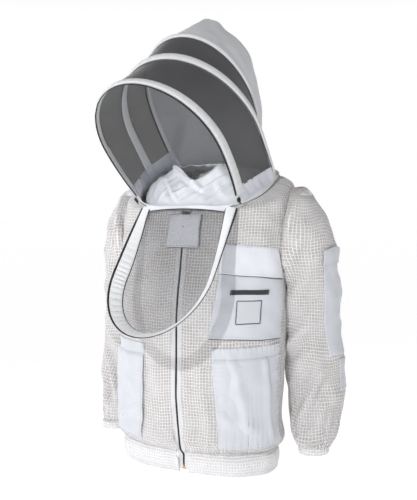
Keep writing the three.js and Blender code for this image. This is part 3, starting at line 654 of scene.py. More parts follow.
def make_materials():
    return {
        "mesh": mesh_material("mesh_cloth", (0.92, 0.92, 0.94), (0.54, 0.505, 0.485), WEAVE, 0.31, 0.0018),
        "hood": mesh_material("hood_cloth", (0.72, 0.73, 0.76), (0.50, 0.51, 0.55), 0.0046, 0.5, 0.0006),
        # The waistband's and cuffs' mesh is paler than the body's: partly its own tone, partly painted light
        # to lift the downward-facing band.
        "band_mesh_tone_and_light": mesh_material("band_mesh_cloth", (0.93, 0.93, 0.95), (0.72, 0.70, 0.71), WEAVE, 0.44),
        "seam": mesh_material("seam_cloth", (0.88, 0.88, 0.89), (0.80, 0.79, 0.80), 0.004),
        "poplin": poplin_material("poplin", (0.80, 0.82, 0.87)),
        # The pockets' and sleeve patches' poplin is a darker copy of the same poplin: painted shade.
        "pocket": poplin_material("pocket_poplin_painted_shade", (0.66, 0.68, 0.73)),
        "skirt": poplin_material("skirt_poplin", (0.70, 0.71, 0.77)),
        # The door's wall is a lighter copy of the same poplin, standing in for the light it gets from below:
        # painted light.
        "wall": poplin_material("wall_poplin_painted_light", (0.93, 0.94, 0.96), 0.97),
        "webbing": webbing_material("webbing", (0.82, 0.83, 0.84)),
        "veil": netting_material("veil_netting", (0.066, 0.066, 0.069), 0.0021, 0.71),
        "door_veil": netting_material("door_netting", (0.11, 0.115, 0.135), 0.0027, 0.20),
        "tape": elastic_material("zip_tape", (0.86, 0.86, 0.88)),
        "black_tape": plain_material("black_tape", (0.022, 0.023, 0.027), 0.75, scale=900),
        "coil": plain_material("zip_coil", (0.02, 0.021, 0.024), 0.4, scale=500),
        # Dark cords: piping, and painted shadow lines under the flaps and along the hood bands.
        "piping": plain_material("dark_piping_and_painted_shadow", (0.09, 0.09, 0.10), 0.7, scale=900),
        "thread": plain_material("thread", (0.70, 0.71, 0.74), 0.75, scale=900),
        # Dark thread: the badge's border, and the zip flap's stitches, which also stand for the shadow along
        # its edges.
        "dark_thread_and_shadow": plain_material("dark_thread_and_shadow", (0.10, 0.10, 0.12), 0.7, scale=900),
        "nickel": plain_material("nickel", (0.50, 0.50, 0.52), 0.32, 1.0, 260),
        "black_metal": plain_material("black_metal", (0.03, 0.03, 0.033), 0.38, 0.4, 260),
        "brass": plain_material("brass", (0.55, 0.39, 0.13), 0.36, 1.0, 260),
        "steel": plain_material("spring_steel", (0.46, 0.47, 0.49), 0.3, 1.0, 300),
        "elastic": elastic_material("elastic", (0.80, 0.80, 0.78)),
        "label": elastic_material("badge_weave", (0.74, 0.76, 0.80)),
        "dark_label": elastic_material("dark_weave", (0.045, 0.045, 0.05)),
    }


# ---------- jacket body ----------
def from_armhole(angle, level):
    """0 at the armhole's edge, rising to 1 some 40 mm away from it."""
    side = np.minimum(np.abs(angle), np.abs(np.abs(angle) - 180))
    front = angle > 0
    across = side / np.where(front, ARMHOLE_FRONT, ARMHOLE_BACK)
    up = (level - ARMHOLE_LEVEL) / ARMHOLE_HALF
    away = np.sqrt(across ** 2 + up ** 2)
    return smooth((away - 1) / np.where(front, 0.6, 0.4))


def body_relief(points, angle, level):
    """How far the worn cloth stands out from the plain body: undulation, folds and gathers at the waist."""
    around = angle * MM_PER_DEGREE
    height = 2.2 * wobble(points, 80, 3) + 1.0 * wobble(points, 30, 5)
    above = np.maximum(level - WAIST_LEVEL, 0)
    height += 5.0 * np.exp(-above / 17) * (ripple(around, 14, 11) - 0.6)
    height += 2.0 * np.exp(-above / 60) * (ripple(around, 37, 12) - 0.5)
    height += 11.0 * hump(level + 628, 27) - 7.0 * hump(level - WAIST_LEVEL, 10)
    for x, seed in ((1, 0), (-1, 4)):
        height += fold(points, (x * 232, -40, -190), (x * (205 - seed), -75, -90), 13, 4.0)
        height += fold(points, (x * 226, -60, -215), (x * 80, -150, -380), 26, 3.0)
        height += fold(points, (x * 228, -40, -300), (x * 120, -140, -470), 24, 3.4)
        height += fold(points, (x * 62, -150, -420), (x * (92 + seed), -145, -630), 15, 3.6)
        height += fold(points, (x * 230, 10, -250), (x * 222, -20, -620), 18, 5.0)
        height += fold(points, (x * 215, 70, -180), (x * 120, 110, -420), 26, 6.0)
        height += fold(points, (x * (150 + seed), 100, -330), (x * 190, 70, -600), 22, 5.0)
    height += fold(points, (80, 115, -80), (30, 110, -520), 30, 5.0)
    height += fold(points, (-120, 112, -120), (-40, 105, -600), 26, 4.6)
    calm = 1 - 0.85 * hump(points[..., 0], 24) * (points[..., 1] < 0)
    return height * calm * from_armhole(angle, level)


def worn_grid(angle, level, sign=1):
    """The body's surface as worn, on the wearer's left or mirrored to the right."""
    points = on_side(body_point(angle, level), sign)
    if sign < 0:
        angle, level = 180 - angle[:, ::-1], level[:, ::-1]
    return raised(points, body_relief(points, angle, level))


def even_levels(low, high, rows):
    """Levels from low to high whose rows lie about evenly over the shoulder."""
    level = np.linspace(low, high, 900)
    run = lengths(body_point(np.full(900, 24.0), level)[None], 1)[0]
    return np.interp(np.linspace(0, run[-1], rows + 1), run, level)


def body_grid(from_angle, to_angle, low, high, columns, rows):
    """Angles and levels of a panel whose side edges may follow the zip or the armhole."""
    u = np.linspace(0, 1, columns + 1)[None]
    level = even_levels(low, high, rows)[:, None] + 0 * u
    start = from_angle(level) if callable(from_angle) else from_angle
    end = to_angle(level) if callable(to_angle) else to_angle
    return mix(start, end, u), level


def zip_shift(z):
    """The zip steps towards the wearer's left where the waist gathers, and wavers a little above it."""
    return 9.0 * smooth((WAIST_LEVEL - 6 - z) / 16) + 1.3 * np.sin(z / 37.0) * smooth((-130 - z) / 80)


def panel_uv(points, centre=0.0):
    """Cloth lengths up from the hem and across from the column at the given share."""
    across = lengths(points, 1)
    column = round(centre * (points.shape[1] - 1))
    return np.stack([across - across[:, column:column + 1], lengths(points, 0)], axis=-1)


def add_body_panels(m):
    for side, sign in (("left", 1), ("right", -1)):
        def zip_side(level):
            return angle_of_x(ZIP_HALF + sign * zip_shift(level - 40), level)

        angle, level = body_grid(
            zip_side,
            lambda z: armhole_angle(z, ARMHOLE_FRONT) + SEAM_GAP,
            WAIST_LEVEL + 1, NECK_LEVEL, 170, 380,
        )
        points = worn_grid(angle, level, sign)
        uv = panel_uv(points, 0.0 if sign > 0 else 1.0)
        piece = add_grid(f"front_{side}_cloth", points, m["mesh"], uv, thickness=2.2)
        finish(piece, "jacket", "mesh_cloth", f"front_panel_{side}")
    angle, level = body_grid(
        lambda z: -armhole_angle(z, ARMHOLE_BACK) - SEAM_GAP,
        lambda z: -180 + armhole_angle(z, ARMHOLE_BACK) + SEAM_GAP,
        WAIST_LEVEL + 1, NECK_LEVEL, 250, 380,
    )
    points = worn_grid(angle, level)
    piece = add_grid("back_cloth", points, m["mesh"], panel_uv(points, 0.5), thickness=2.2)
    finish(piece, "jacket", "mesh_cloth", "back_panel")
    below_arms = np.searchsorted(level[:, 0], ARMHOLE_LEVEL - ARMHOLE_HALF)
    for name, column in (("left", 0), ("right", -1)):
        pipe(f"side_seam_{name}", points[2:below_arms, column], 1.6, m["mesh"], "jacket", "mesh_cloth")


def finish(piece, body, slot, *nodes):
    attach(piece, body)
    if nodes:
        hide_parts(*nodes)
    return piece


def sew(name, points, thread, body, slot, **where):
    """Stitches that ride the body of the cloth they hold."""
    finish(add_stitches(name, points, thread, **where), body, slot)


def pipe(name, line, radius, material, body, slot):
    """Piping that rides the body of the cloth it edges."""
    finish(add_cord_line(name, line, radius, material), body, slot)


def band_relief(points, angle, level):
    """The waistband: a rolled hem, a puckered top and an elastic channel that swells between them."""
    around = angle * MM_PER_DEGREE
    middle = (WAIST_LEVEL + HEM_LEVEL) / 2
    swell = 1 - ((level - middle) / (WAIST_LEVEL - middle)) ** 2
    height = 6.0 * swell + 2.0 * (ripple(around, 13, 21) - 0.6) * (0.4 + 0.6 * swell)
    height += 2.4 * hump(level - WAIST_LEVEL, 12) * (ripple(around, 14, 11) - 0.6)
    height += 1.6 * wobble(points, 40, 23) - 5.5 * hump(level - WAIST_LEVEL, 7)
    return height + 2.4 * hump(level - HEM_LEVEL - 3, 5)


def add_waistband(m):
    def build(name, angle, level, sign, node):
        points = on_side(body_point(angle, level), sign)
        if sign < 0:
            angle, level = 180 - angle[:, ::-1], level[:, ::-1]
        points = raised(points, band_relief(points, angle, level))
        points[..., 2] += 0.9 * wobble(points, 40, 29) * smooth((HEM_LEVEL + 30 - level) / 30)
        piece = add_grid(name, points, m["band_mesh_tone_and_light"], thickness=3.4)
        finish(piece, "jacket", "mesh_cloth", node)
        sew(name + "_stitches", points, m["thread"], "jacket", "poplin", rows=(0.13, 0.88), lift=2.0)
        add_waist_seam(m, name + "_seam", points)

    for side, sign in (("left", 1), ("right", -1)):
        def zip_side(level):
            return angle_of_x(ZIP_HALF + sign * zip_shift(level), level)

        angle, level = body_grid(zip_side, SEAM_GAP, HEM_LEVEL, WAIST_LEVEL - 1, 150, 40)
        build(f"waistband_{side}", angle, level, sign, f"waistband_front_{side}")
    angle, level = body_grid(-SEAM_GAP, -180 + SEAM_GAP, HEM_LEVEL, WAIST_LEVEL - 1, 230, 40)
    build("waistband_rear", angle, level, 1, "waistband_back")

    def elastic(u, v):
        return body_point(mix(75.0, -255.0, u), mix(HEM_LEVEL + 14.0, WAIST_LEVEL - 8.0, v))

    inside = grid(elastic, 300, 6)
    inside = raised(inside, -3.6)
    piece = add_grid("waist_elastic_strip", inside, m["elastic"], thickness=1.2)
    finish(piece, "jacket", "elastic", "waist_elastic")


def add_waist_seam(m, name, points):
    """The raised, puckered seam that joins the waistband to the panels."""
    line = points[-1] + normals(points)[-1] * 2.6
    line[:, 2] += 1.0
    centres, along = walk(line, 1.2)
    run = lengths(centres[None], 1)[0]
    out = unit(np.cross(along, [0, 0, 1.0]))
    up = np.cross(out, along)
    centres = centres + up * (1.1 * wobble(centres, 14, 33))[:, None]
    swell = 1.7 + 1.7 * ripple(run, 10, 31)
    section = ellipse(1, 1, 10)[None] * swell[:, None, None]
    finish(add_sweep(name, (centres, out, up), section, m["seam"]), "jacket", "mesh_cloth")


def add_main_zip(m):
    for side, sign in (("left", 1), ("right", -1)):
        def strip(u, v):
            z = mix(MAIN_ZIP[0], MAIN_ZIP[1], v)
            return front_point(mix(COIL_HALF + 0.2, ZIP_HALF + 2.0, u) + sign * zip_shift(z), z)

        points = on_side(grid(strip, 8, 300), sign)
        tuck = 3.0 * hump(points[..., 2] - WAIST_LEVEL + 14, 14)
        points = raised(points, 0.7 + 0.5 * wobble(points, 24, 41) - tuck)
        piece = add_grid(f"zip_tape_{side}", points, m["tape"], thickness=1.0)
        finish(piece, "jacket", "zip_tape", f"main_zip_tape_{side}")
        sew(f"zip_tape_{side}_stitches", points, m["thread"], "jacket", "zip_tape", columns=(0.5,), lift=0.8)
    z = np.linspace(MAIN_ZIP[0] + 9, MAIN_ZIP[1], 500)
    line = front_point(0 * z, z)
    line[:, 0] += zip_shift(z)
    line[:, 1] += 3.0 * hump(z - WAIST_LEVEL + 14, 14)
    lean = (z - FRONT_ARC["z"]) / FRONT_ARC["radius"]
    out = unit(np.stack([0 * z, -np.sqrt(1 - lean * lean), lean], -1))
    across = np.tile([1.0, 0, 0], (len(z), 1))
    tape = add_sweep("zip_chain_tape", (line, across, out), ellipse(COIL_HALF + 0.7, 0.7, 8), m["black_tape"])
    finish(tape, "jacket", "zip_coil")
    groups = [line_beads(line, out, TOOTH_STEP, (0.95, 1.5, 1.3), 1.2, shift) for shift in (-1.25, 1.25)]
    teeth = add_beads("zip_chain_teeth", groups, m["coil"])
    finish(teeth, "jacket", "zip_coil", "main_zip_teeth")
    foot = line[0] + [0, -0.6, -4]
    axes = (np.array([0, 0, 1.0]), np.array([1.0, 0, 0]), np.array([0, -1.0, 0]))
    blocks = [((9, 7.4, 3), (0, 0, 0)), ((11, 2.4, 3.6), (2, 0, 0)), ((3, 8.4, 3.6), (-3, 0, 0))]
    box = add_hulls("zip_foot_box", blocks, foot, axes, m["brass"])
    finish(box, "jacket", "brass", "main_zip_bottom_box")


# ---------- pockets and flaps ----------
def front_grid(corners, columns, rows, sign=1):
    """A four-sided patch lying on the worn front, as angles and levels turned into points."""
    address = [front_address(np.float64(x), np.float64(z)) for x, z in corners]
    u, v = np.meshgrid(np.linspace(0, 1, columns + 1), np.linspace(0, 1, rows + 1))
    (a0, l0), (a1, l1), (a2, l2), (a3, l3) = address
    angle = mix(mix(a0, a1, u), mix(a3, a2, u), v)
    level = mix(mix(l0, l1, u), mix(l3, l2, u), v)
    return worn_grid(angle, level, sign)


def edge_distance(points):
    """Distances in mm of each grid point to the left, right, lower and upper edge."""
    uv = flat_uv(points)
    return uv[..., 0], uv[:, -1:, 0] - uv[..., 0], uv[..., 1], uv[-1:, :, 1] - uv[..., 1]


def pucker(points, seed, sides=(1, 1, 1, 1), wave=11.0, height=2.0, reach=11.0):
    """Small gathers along the sewn edges, with the cloth turned under at the rim."""
    left, right, low, high = edge_distance(points)
    total = np.zeros(points.shape[:2])
    for number, (distance, run) in enumerate(((left, low), (right, low), (low, left), (high, left))):
        edge = np.exp(-distance / reach)
        total += sides[number] * height * edge * (ripple(run, wave, seed + number) - 0.75)
        total -= 0.9 * np.exp(-distance / 1.6)
    return total


def add_pocket_panel(name, points, material, seed, lift, sides, extra, wave=11.0):
    """A poplin panel sewn on at its edges. Returns the piece and its points."""
    height = lift + pucker(points, seed, sides, wave) + 0.7 * wobble(points, 34, seed + 7) + extra
    points = raised(points, height)
    return add_grid(name, points, material, thickness=1.5), points


def add_chest_pocket(m):
    base = front_grid(CHEST_POCKET, 90, 110)
    _, _, low, high = edge_distance(base)
    open_edge = 2.4 * np.exp(-low / 9) + 1.6 * hump(high - 60, 50)
    piece, points = add_pocket_panel(
        "chest_pocket_cloth", base, m["pocket"], 51, 2.6, (0.4, 0.8, 0.15, 0.3), open_edge
    )
    finish(piece, "jacket", "poplin", "chest_pocket")
    where = {"rows": (0.035,), "columns": (0.03, 0.97)}
    sew("chest_pocket_stitches", points, m["thread"], "jacket", "poplin", **where)
    # A thin dark cord just under the pocket's lifted lower edge: partly a dark edge line, partly painted
    # shadow under that edge.
    line = points[1] + normals(points)[1] * 0.4 + [0, 0, -1.6]
    pipe("chest_pocket_dark_edge_and_shadow", line, 1.1, m["piping"], "jacket", "poplin")

    base = front_grid(CHEST_FLAP, 80, 60)
    _, _, low, high = edge_distance(base)
    curl = 2.2 * np.exp(-low / 14) - 1.6 * np.exp(-high / 5)
    piece, points = add_pocket_panel(
        "chest_flap_cloth", base, m["poplin"], 61, 5.4, (0.2, 0.5, 0.1, 0.8), curl
    )
    finish(piece, "chest_pocket_flap", "poplin", "chest_pocket_flap")
    where = {"rows": (0.05, 0.93), "columns": (0.04, 0.96)}
    sew("chest_flap_stitches", points, m["thread"], "chest_pocket_flap", "poplin", **where)
    # A thin dark cord just under the flap's lower edge: painted shadow under the flap.
    line = points[0] + normals(points)[0] * -0.4 + [0, 0, -0.9]
    pipe("chest_flap_shadow_line", line, 0.9, m["piping"], "chest_pocket_flap", "poplin")


def add_badge(m):
    points = raised(front_grid(BADGE, 24, 28), POCKET_TOP + 1.2)
    piece = add_grid("badge_patch", points, m["label"], thickness=1.0)
    finish(piece, "jacket", "label", "chest_badge")
    edge = np.concatenate([points[0], points[1:, -1], points[-1, -2::-1], points[-2:0:-1, 0], points[:1, 0]])
    out = normals(points)
    rim = np.concatenate([out[0], out[1:, -1], out[-1, -2::-1], out[-2:0:-1, 0], out[:1, 0]])
    centres, along = walk(edge, 1.2)
    run = lengths(edge[None], 1)[0]
    places = np.arange(0.6, run[-1], 1.2)
    outward = np.stack([np.interp(places, run, rim[:, k]) for k in range(3)], -1)
    across = np.cross(outward, along)
    satin = (centres + outward * 0.3, across, outward, (1.6, 0.62, 0.8))
    finish(add_beads("badge_border", [satin], m["dark_thread_and_shadow"]), "jacket", "label")
    strip = raised(front_grid(LABEL, 36, 8), POCKET_TOP + 0.9)
    piece = add_grid("woven_strip", strip, m["dark_label"], thickness=0.8)
    finish(piece, "jacket", "label")
    where = {"columns": (0.04, 0.96), "lift": 0.6, "span": (0.1, 0.9)}
    sew("woven_strip_stitches", strip, m["thread"], "jacket", "label", **where)


def hip_opening(points, sign):
    """The step where a hip pocket's slanted opening lies over the panel behind it."""
    left, right, low, _ = edge_distance(points)
    outer = right if sign > 0 else left
    line = 54 - 30 * smooth((260 - low) / 230) + 7 * np.sin(low / 44.0)
    step = smooth((outer - line) / 7 + 0.5)
    roll = hump(outer - line - 7, 9)
    return (3.4 * step + 3.6 * roll) * smooth(low / 40) * smooth((236 - low) / 14)


HIP_FOLDS = (
    ((150, -140, -405), (190, -110, -600), 15, 8.0),
    ((205, -110, -420), (130, -140, -520), 18, 6.0),
    ((120, -150, -560), (215, -100, -600), 16, 4.5),
)


def add_hip_pockets(m):
    for side, sign in (("left", 1), ("right", -1)):
        base = front_grid(HIP_POCKET, 110, 190, sign)
        left, right, low, high = edge_distance(base)
        outer = right if sign > 0 else left
        seam = -1.4 * hump(high - 27, 2.2) + 1.0 * np.exp(-np.maximum(27 - high, 0) / 4) * (high < 27)
        drape = folded(base, HIP_FOLDS, sign)
        sides = (0.7, 1.5, 0.3, 1.0) if sign > 0 else (1.5, 0.7, 0.3, 1.0)
        drape = np.maximum(drape, 0) + 0.3 * np.tanh(np.minimum(drape, 0)) + 1.0
        extra = hip_opening(base, sign) + seam + drape
        name = f"hip_pocket_{side}_cloth"
        piece, points = add_pocket_panel(name, base, m["pocket"], 71 + sign, 2.3, sides, extra, wave=14.0)
        finish(piece, "jacket", "poplin", f"hip_pocket_{side}")
        where = {"rows": (0.02, 0.875, 0.885), "columns": (0.03, 0.97)}
        sew(name + "_stitches", points, m["thread"], "jacket", "poplin", **where)


def add_zip_flap(m):
    base = front_grid(ZIP_FLAP, 60, 60)
    _, _, low, high = edge_distance(base)
    curl = 1.2 * np.exp(-low / 12) - 3.4 * np.exp(-high / 9)
    height = 7.4 + curl + 0.8 * wobble(base, 30, 81) + pucker(base, 82, (0.2, 0.2, 0.1, 0.7))
    points = raised(base, height)
    piece = add_grid("zip_flap_cloth", points, m["poplin"], thickness=1.6)
    finish(piece, "zip_end_flap", "poplin", "zip_end_flap")
    where = {"rows": (0.04,), "columns": (0.04, 0.96)}
    # Dark stitches along the flap's edges: real stitching, coloured dark to stand for the shadow along those
    # edges.
    sew("zip_flap_stitches_and_shadow", points, m["dark_thread_and_shadow"], "zip_end_flap", "poplin", **where)
    # Thin dark cords just below the flap's lower edge and along its side at the wearer's left: painted shadow
    # of the raised flap.
    line = np.concatenate([points[0], points[1:, -1]]) + [0, -0.3, -0.6]
    pipe("zip_flap_shadow_line", line, 0.8, m["piping"], "zip_end_flap", "poplin")


# ---------- sleeves ----------
def body_half_width(y, z):
    level = level_of(y, z)
    slope, half, back, wide, square = station_at(level)
    depth = np.where(y < wide, wide - front_line(level - LEVEL_TILT_REACH * slope), back - wide)
    reach = np.minimum(np.abs(y - wide) / depth, 1)
    return half * (1 - reach ** square) ** (1 / square)


def armhole_loop(turn, clear):
    angle = np.cos(turn) * np.where(np.cos(turn) > 0, ARMHOLE_FRONT, ARMHOLE_BACK)
    level = ARMHOLE_LEVEL + ARMHOLE_HALF * np.sin(turn)
    here = body_point(angle, level)
    across = body_point(angle - 0.2, level) - here
    up = body_point(angle, level + 0.5) - here
    out = np.cross(across, up)
    return here + clear * out / np.linalg.norm(out, axis=-1, keepdims=True)


def sleeve_section(turn, station):
    """Sections 1 and up, on smooth curves through the listed ones."""
    at = np.arange(1, len(SLEEVE) + 1, dtype=float)
    value = [curve_through(station, at, SLEEVE[:, k]) for k in range(7)]
    rise = 0.5 + 0.5 * np.sin(turn)
    point = stack(*(mix(value[3 + k], value[k], rise) for k in range(3)))
    point[..., 1] -= value[6] * np.cos(turn)
    return point


def sleeve_point(turn, station):
    """The left sleeve: turn 0 is its front and 90 degrees its outer side; station counts its sections."""
    loop = armhole_loop(turn, 1.6)
    first = sleeve_section(turn, np.full_like(station, 1.0))
    after = sleeve_section(turn, np.full_like(station, 1.25)) - first
    t = np.clip(station, 0, 1)[..., None]
    leave = (first - loop) * 1.2
    ease = (1 + 2 * t) * (1 - t) ** 2 * loop + t * (1 - t) ** 2 * leave
    ease = ease + (3 - 2 * t) * t * t * first - (1 - t) * t * t * after * 4
    point = np.where((station < 1)[..., None], ease, sleeve_section(turn, np.maximum(station, 1.0)))
    top = np.maximum(np.sin(turn), 0) ** 1.5
    point[..., 2] += 7 * hump(station - 0.55, 0.5) * top
    point[..., 0] += 3 * hump(station - 0.9, 0.6) * top
    clear = SLEEVE_CLEAR * smooth(station / 0.4) + 1.2
    wall = body_half_width(point[..., 1], point[..., 2]) + clear
    point[..., 0] = np.where(station > 0.02, np.maximum(point[..., 0], wall), point[..., 0])
    return point


def sleeve_relief(points, turn, station, seed):
    """Folds of a sleeve on its own side (x is counted positive): armhole, elbow and the bloused wrist."""
    run = turn / (2 * math.pi) * 480
    height = 2.8 * wobble(points, 60, seed) + 1.2 * wobble(points, 26, seed + 1)
    height += 3.0 * hump(station, 0.35) * (ripple(run, 19, seed + 2) - 0.6)
    height -= 2.0 * hump(station - 0.06, 0.05)
    near_cuff = np.exp(-np.maximum(10 - station, 0) / 1.1)
    height += 6.0 * near_cuff * (ripple(run, 15, seed + 3) - 0.55)
    height += 4.0 * hump(station - 8.2, 0.9) * (ripple(run, 36, seed + 4) - 0.4)
    for start, end, width, rise in SLEEVE_FOLDS:
        height += fold(points, start, end, width, rise)
    return height * smooth(station / 0.25)


def sleeve_uv(points):
    """The weave runs straight down the arm, curves in over the shoulder and wavers a little."""
    w = SLEEVE_WEAVE
    down = np.maximum(w["top"] - points[..., 2], 0)
    x = np.abs(points[..., 0]) - w["x"] - w["lean_x"] * down
    y = points[..., 1] - w["y"] - w["lean_y"] * down
    around = np.unwrap(np.arctan2(-y, -x), axis=1) * w["radius"]
    dome = w["dome"] * np.arccos(np.maximum(1 - down / w["dome"], 0))
    along = dome + np.maximum(down - w["dome"], 0)
    return stack(around + 3.5 * wobble(points, 60, 105), 3.5 * wobble(points, 60, 107) - along)


def add_sleeves(m):
    columns, rows = 220, 420
    u, v = np.meshgrid(np.linspace(0, 1, columns + 1), np.linspace(1, 0, rows + 1))
    turn, station = 2 * math.pi * (u - 0.25), 10.0 * v
    plain = sleeve_point(turn, station)
    for side, sign in (("left", 1), ("right", -1)):
        height = sleeve_relief(plain, turn, station, 101 if sign > 0 else 141)
        points = raised(plain, height, wrap=True)
        points[:, -1] = points[:, 0]
        points = on_side(points, sign)
        uv = sleeve_uv(on_side(plain, sign))
        name = f"sleeve_{side}_cloth"
        piece = add_grid(name, points, m["mesh"], uv, wrap=True, thickness=2.2)
        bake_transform(piece)
        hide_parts(f"sleeve_{side}", f"sleeve_cap_{side}")
        add_cuff(m, side, sign)
        if sign > 0:
            add_sleeve_patches(m, columns, rows, height)


def add_cuff(m, side, sign):
    def ring(clear, low, high):
        def surface(u, v):
            turn = 2 * math.pi * u
            x = CUFF["x"] + (CUFF["radius_x"] - clear) * np.sin(turn)
            y = CUFF["y"] - (CUFF["radius_y"] - clear) * np.cos(turn)
            return stack(x, y, mix(low, high, v))
        return surface

    base = grid(ring(0, CUFF["bottom"], CUFF["top"]), 200, 24)
    run = lengths(base, 1)
    share = np.linspace(0, 1, 25)[:, None]
    height = 2.2 * (ripple(run, 8.5, 91) - 0.6) + 3.4 * (1 - (2 * share - 1) ** 2)
    points = raised(base, height, wrap=True)
    points[:, -1] = points[:, 0]
    piece = add_grid(f"cuff_{side}_cloth", on_side(points, sign), m["band_mesh_tone_and_light"], wrap=True, thickness=1.8)
    finish(piece, f"sleeve_{side}", "mesh_cloth", f"cuff_{side}")
    inner = on_side(grid(ring(2.4, CUFF["bottom"] + 2, CUFF["top"] - 2), 120, 6), sign)
    piece = add_grid(f"cuff_elastic_{side}_strip", inner, m["elastic"], wrap=True, thickness=1.2)
    finish(piece, f"sleeve_{side}", "elastic", f"cuff_elastic_{side}")


def add_sleeve_patches(m, columns, rows, height):
    """Poplin on the left sleeve, between turns and stations: a pen pocket, its flap and an elbow patch."""
    from_station = 10.0 * np.linspace(1, 0, rows + 1)
    turns = 360 * np.linspace(-0.25, 0.75, columns + 1)

    def relief_at(turn, station):
        column = np.interp(np.degrees(turn), turns, np.arange(columns + 1))
        row = np.interp(-station, -from_station, np.arange(rows + 1))
        c, r = np.floor(column).astype(int), np.floor(row).astype(int)
        c, r = np.minimum(c, columns - 1), np.minimum(r, rows - 1)
        fc, fr = column - c, row - r
        low = mix(height[r, c], height[r, c + 1], fc)
        high = mix(height[r + 1, c], height[r + 1, c + 1], fc)
        return mix(low, high, fr)

    def patch(name, turn_span, station_span, lift, body, node, seed, sides, detail):
        u, v = np.meshgrid(np.linspace(0, 1, detail[0] + 1), np.linspace(1, 0, detail[1] + 1))
        turn = np.radians(mix(turn_span[0], turn_span[1], u))
        station = mix(station_span[0], station_span[1], v)
        points = sleeve_point(turn, station)
        points = raised(points, relief_at(turn, station) + lift)
        points = raised(points, pucker(points, seed, sides, 12.0, 1.3) + 0.5 * wobble(points, 26, seed + 5))
        piece = add_grid(name, points, m["pocket"], thickness=1.5)
        finish(piece, body, "poplin", node)
        where = {"rows": (0.03, 0.95), "columns": (0.05, 0.95)}
        sew(name + "_stitches", points, m["thread"], body, "poplin", **where)

    patch(
        "pen_pocket_cloth", (53, 128), (3.1, 5.9), 2.6, "sleeve_left", "sleeve_pocket",
        111, (1, 1, 0.5, 0.4), (60, 130),
    )
    patch(
        "elbow_patch_cloth", (72, 150), (6.0, 6.9), 2.4, "sleeve_left", "elbow_patch",
        121, (1, 1, 0.6, 0.6), (60, 50),
    )
    patch(
        "pen_flap_cloth", (51, 130), (3.02, 3.5), 5.2, "sleeve_pocket_flap", "sleeve_pocket_flap",
        131, (0.3, 0.3, 0.1, 0.8), (50, 24),
    )


# ---------- hood ----------
def arch_shape(hoop, s):
    """Across and up in the hoop's plane; s runs from -1 at the right foot over 0 at the top to 1."""
    waist = hoop["waist"] * hoop["length"]
    t = np.abs(s)
    turn = (math.pi / 2) * (1 - np.minimum(t, ARCH_SHARE) / ARCH_SHARE)
    height = waist * (1 - t) / (1 - ARCH_SHARE)
    spread = 1 - ((waist - height) / waist) ** 2
    upper = t < ARCH_SHARE
    x = np.where(upper, hoop["half"] * np.cos(turn), hoop["x"] + (hoop["half"] - hoop["x"]) * spread)
    up = np.where(upper, waist + (hoop["length"] - waist) * np.sin(turn), height)
    return np.sign(s) * x, up


def arch_point(hoop, s):
    x, up = arch_shape(hoop, s)
    lean = math.radians(hoop["lean"])
    return stack(x, hoop["y"] - up * math.sin(lean), hoop["z"] + up * math.cos(lean))


def unit(vectors):
    return vectors / np.maximum(np.linalg.norm(vectors, axis=-1, keepdims=True), 1e-9)


def gore_point(front, back, s, g):
    g = np.asarray(g, float)[..., None]
    point = mix(arch_point(front, s), arch_point(back, s), g)
    return point + unit(point - HOOD_HEART) * 4 * GORE_PUFF * g * (1 - g)


def hoop_frames(hoop, neighbour, shift, start, end, steps):
    dense = np.linspace(start, end, 4000)
    run = lengths(arch_point(hoop, dense)[None], 1)[0]
    s = np.interp(np.linspace(0, run[-1], steps + 1), run, dense)
    origin = arch_point(hoop, s)
    tangent = unit(arch_point(hoop, s + 1e-3) - arch_point(hoop, s - 1e-3))
    across = arch_point(neighbour, s) - origin
    across = unit(across - (across * tangent).sum(-1, keepdims=True) * tangent)
    out = unit(np.cross(tangent, across))
    out *= np.sign((out * (origin - HOOD_HEART)).sum(-1, keepdims=True))
    return origin + across * shift, across, out


def add_hoop(m, name, hoop, neighbour, width):
    steps = 900
    frames = hoop_frames(hoop, neighbour, width / 2, -FOOT, FOOT, steps)
    half = width / 2
    turn = np.linspace(0, math.pi, 13)
    top = stack(half * np.cos(turn), 1.2 + 7.0 * np.sin(turn) ** 0.55)
    floor = stack(np.linspace(-half, half, 7)[1:-1], np.full(5, 0.5))
    section = np.concatenate([top, floor])
    rows = np.tile(section, (steps + 1, 1, 1))
    ribs = 0.28 * np.cos(2 * math.pi * np.arange(steps + 1) / 3.0)
    rows[:, 1:12, 1] += ribs[:, None]
    piece = add_sweep(f"hoop_band_{name}", frames, rows, m["webbing"])
    finish(piece, "hood", "binding", f"hoop_channel_{name}")
    for number, (place, end) in enumerate(((-half + 1.6, 1), (half - 1.6, -1))):
        line = frames[0] + frames[1] * place
        groups = [line_beads(line + frames[2] * 4.6, frames[2], 4.4, STITCH, 0.4)]
        finish(add_beads(f"hoop_band_{name}_stitches_{number}", groups, m["thread"]), "hood", "binding")


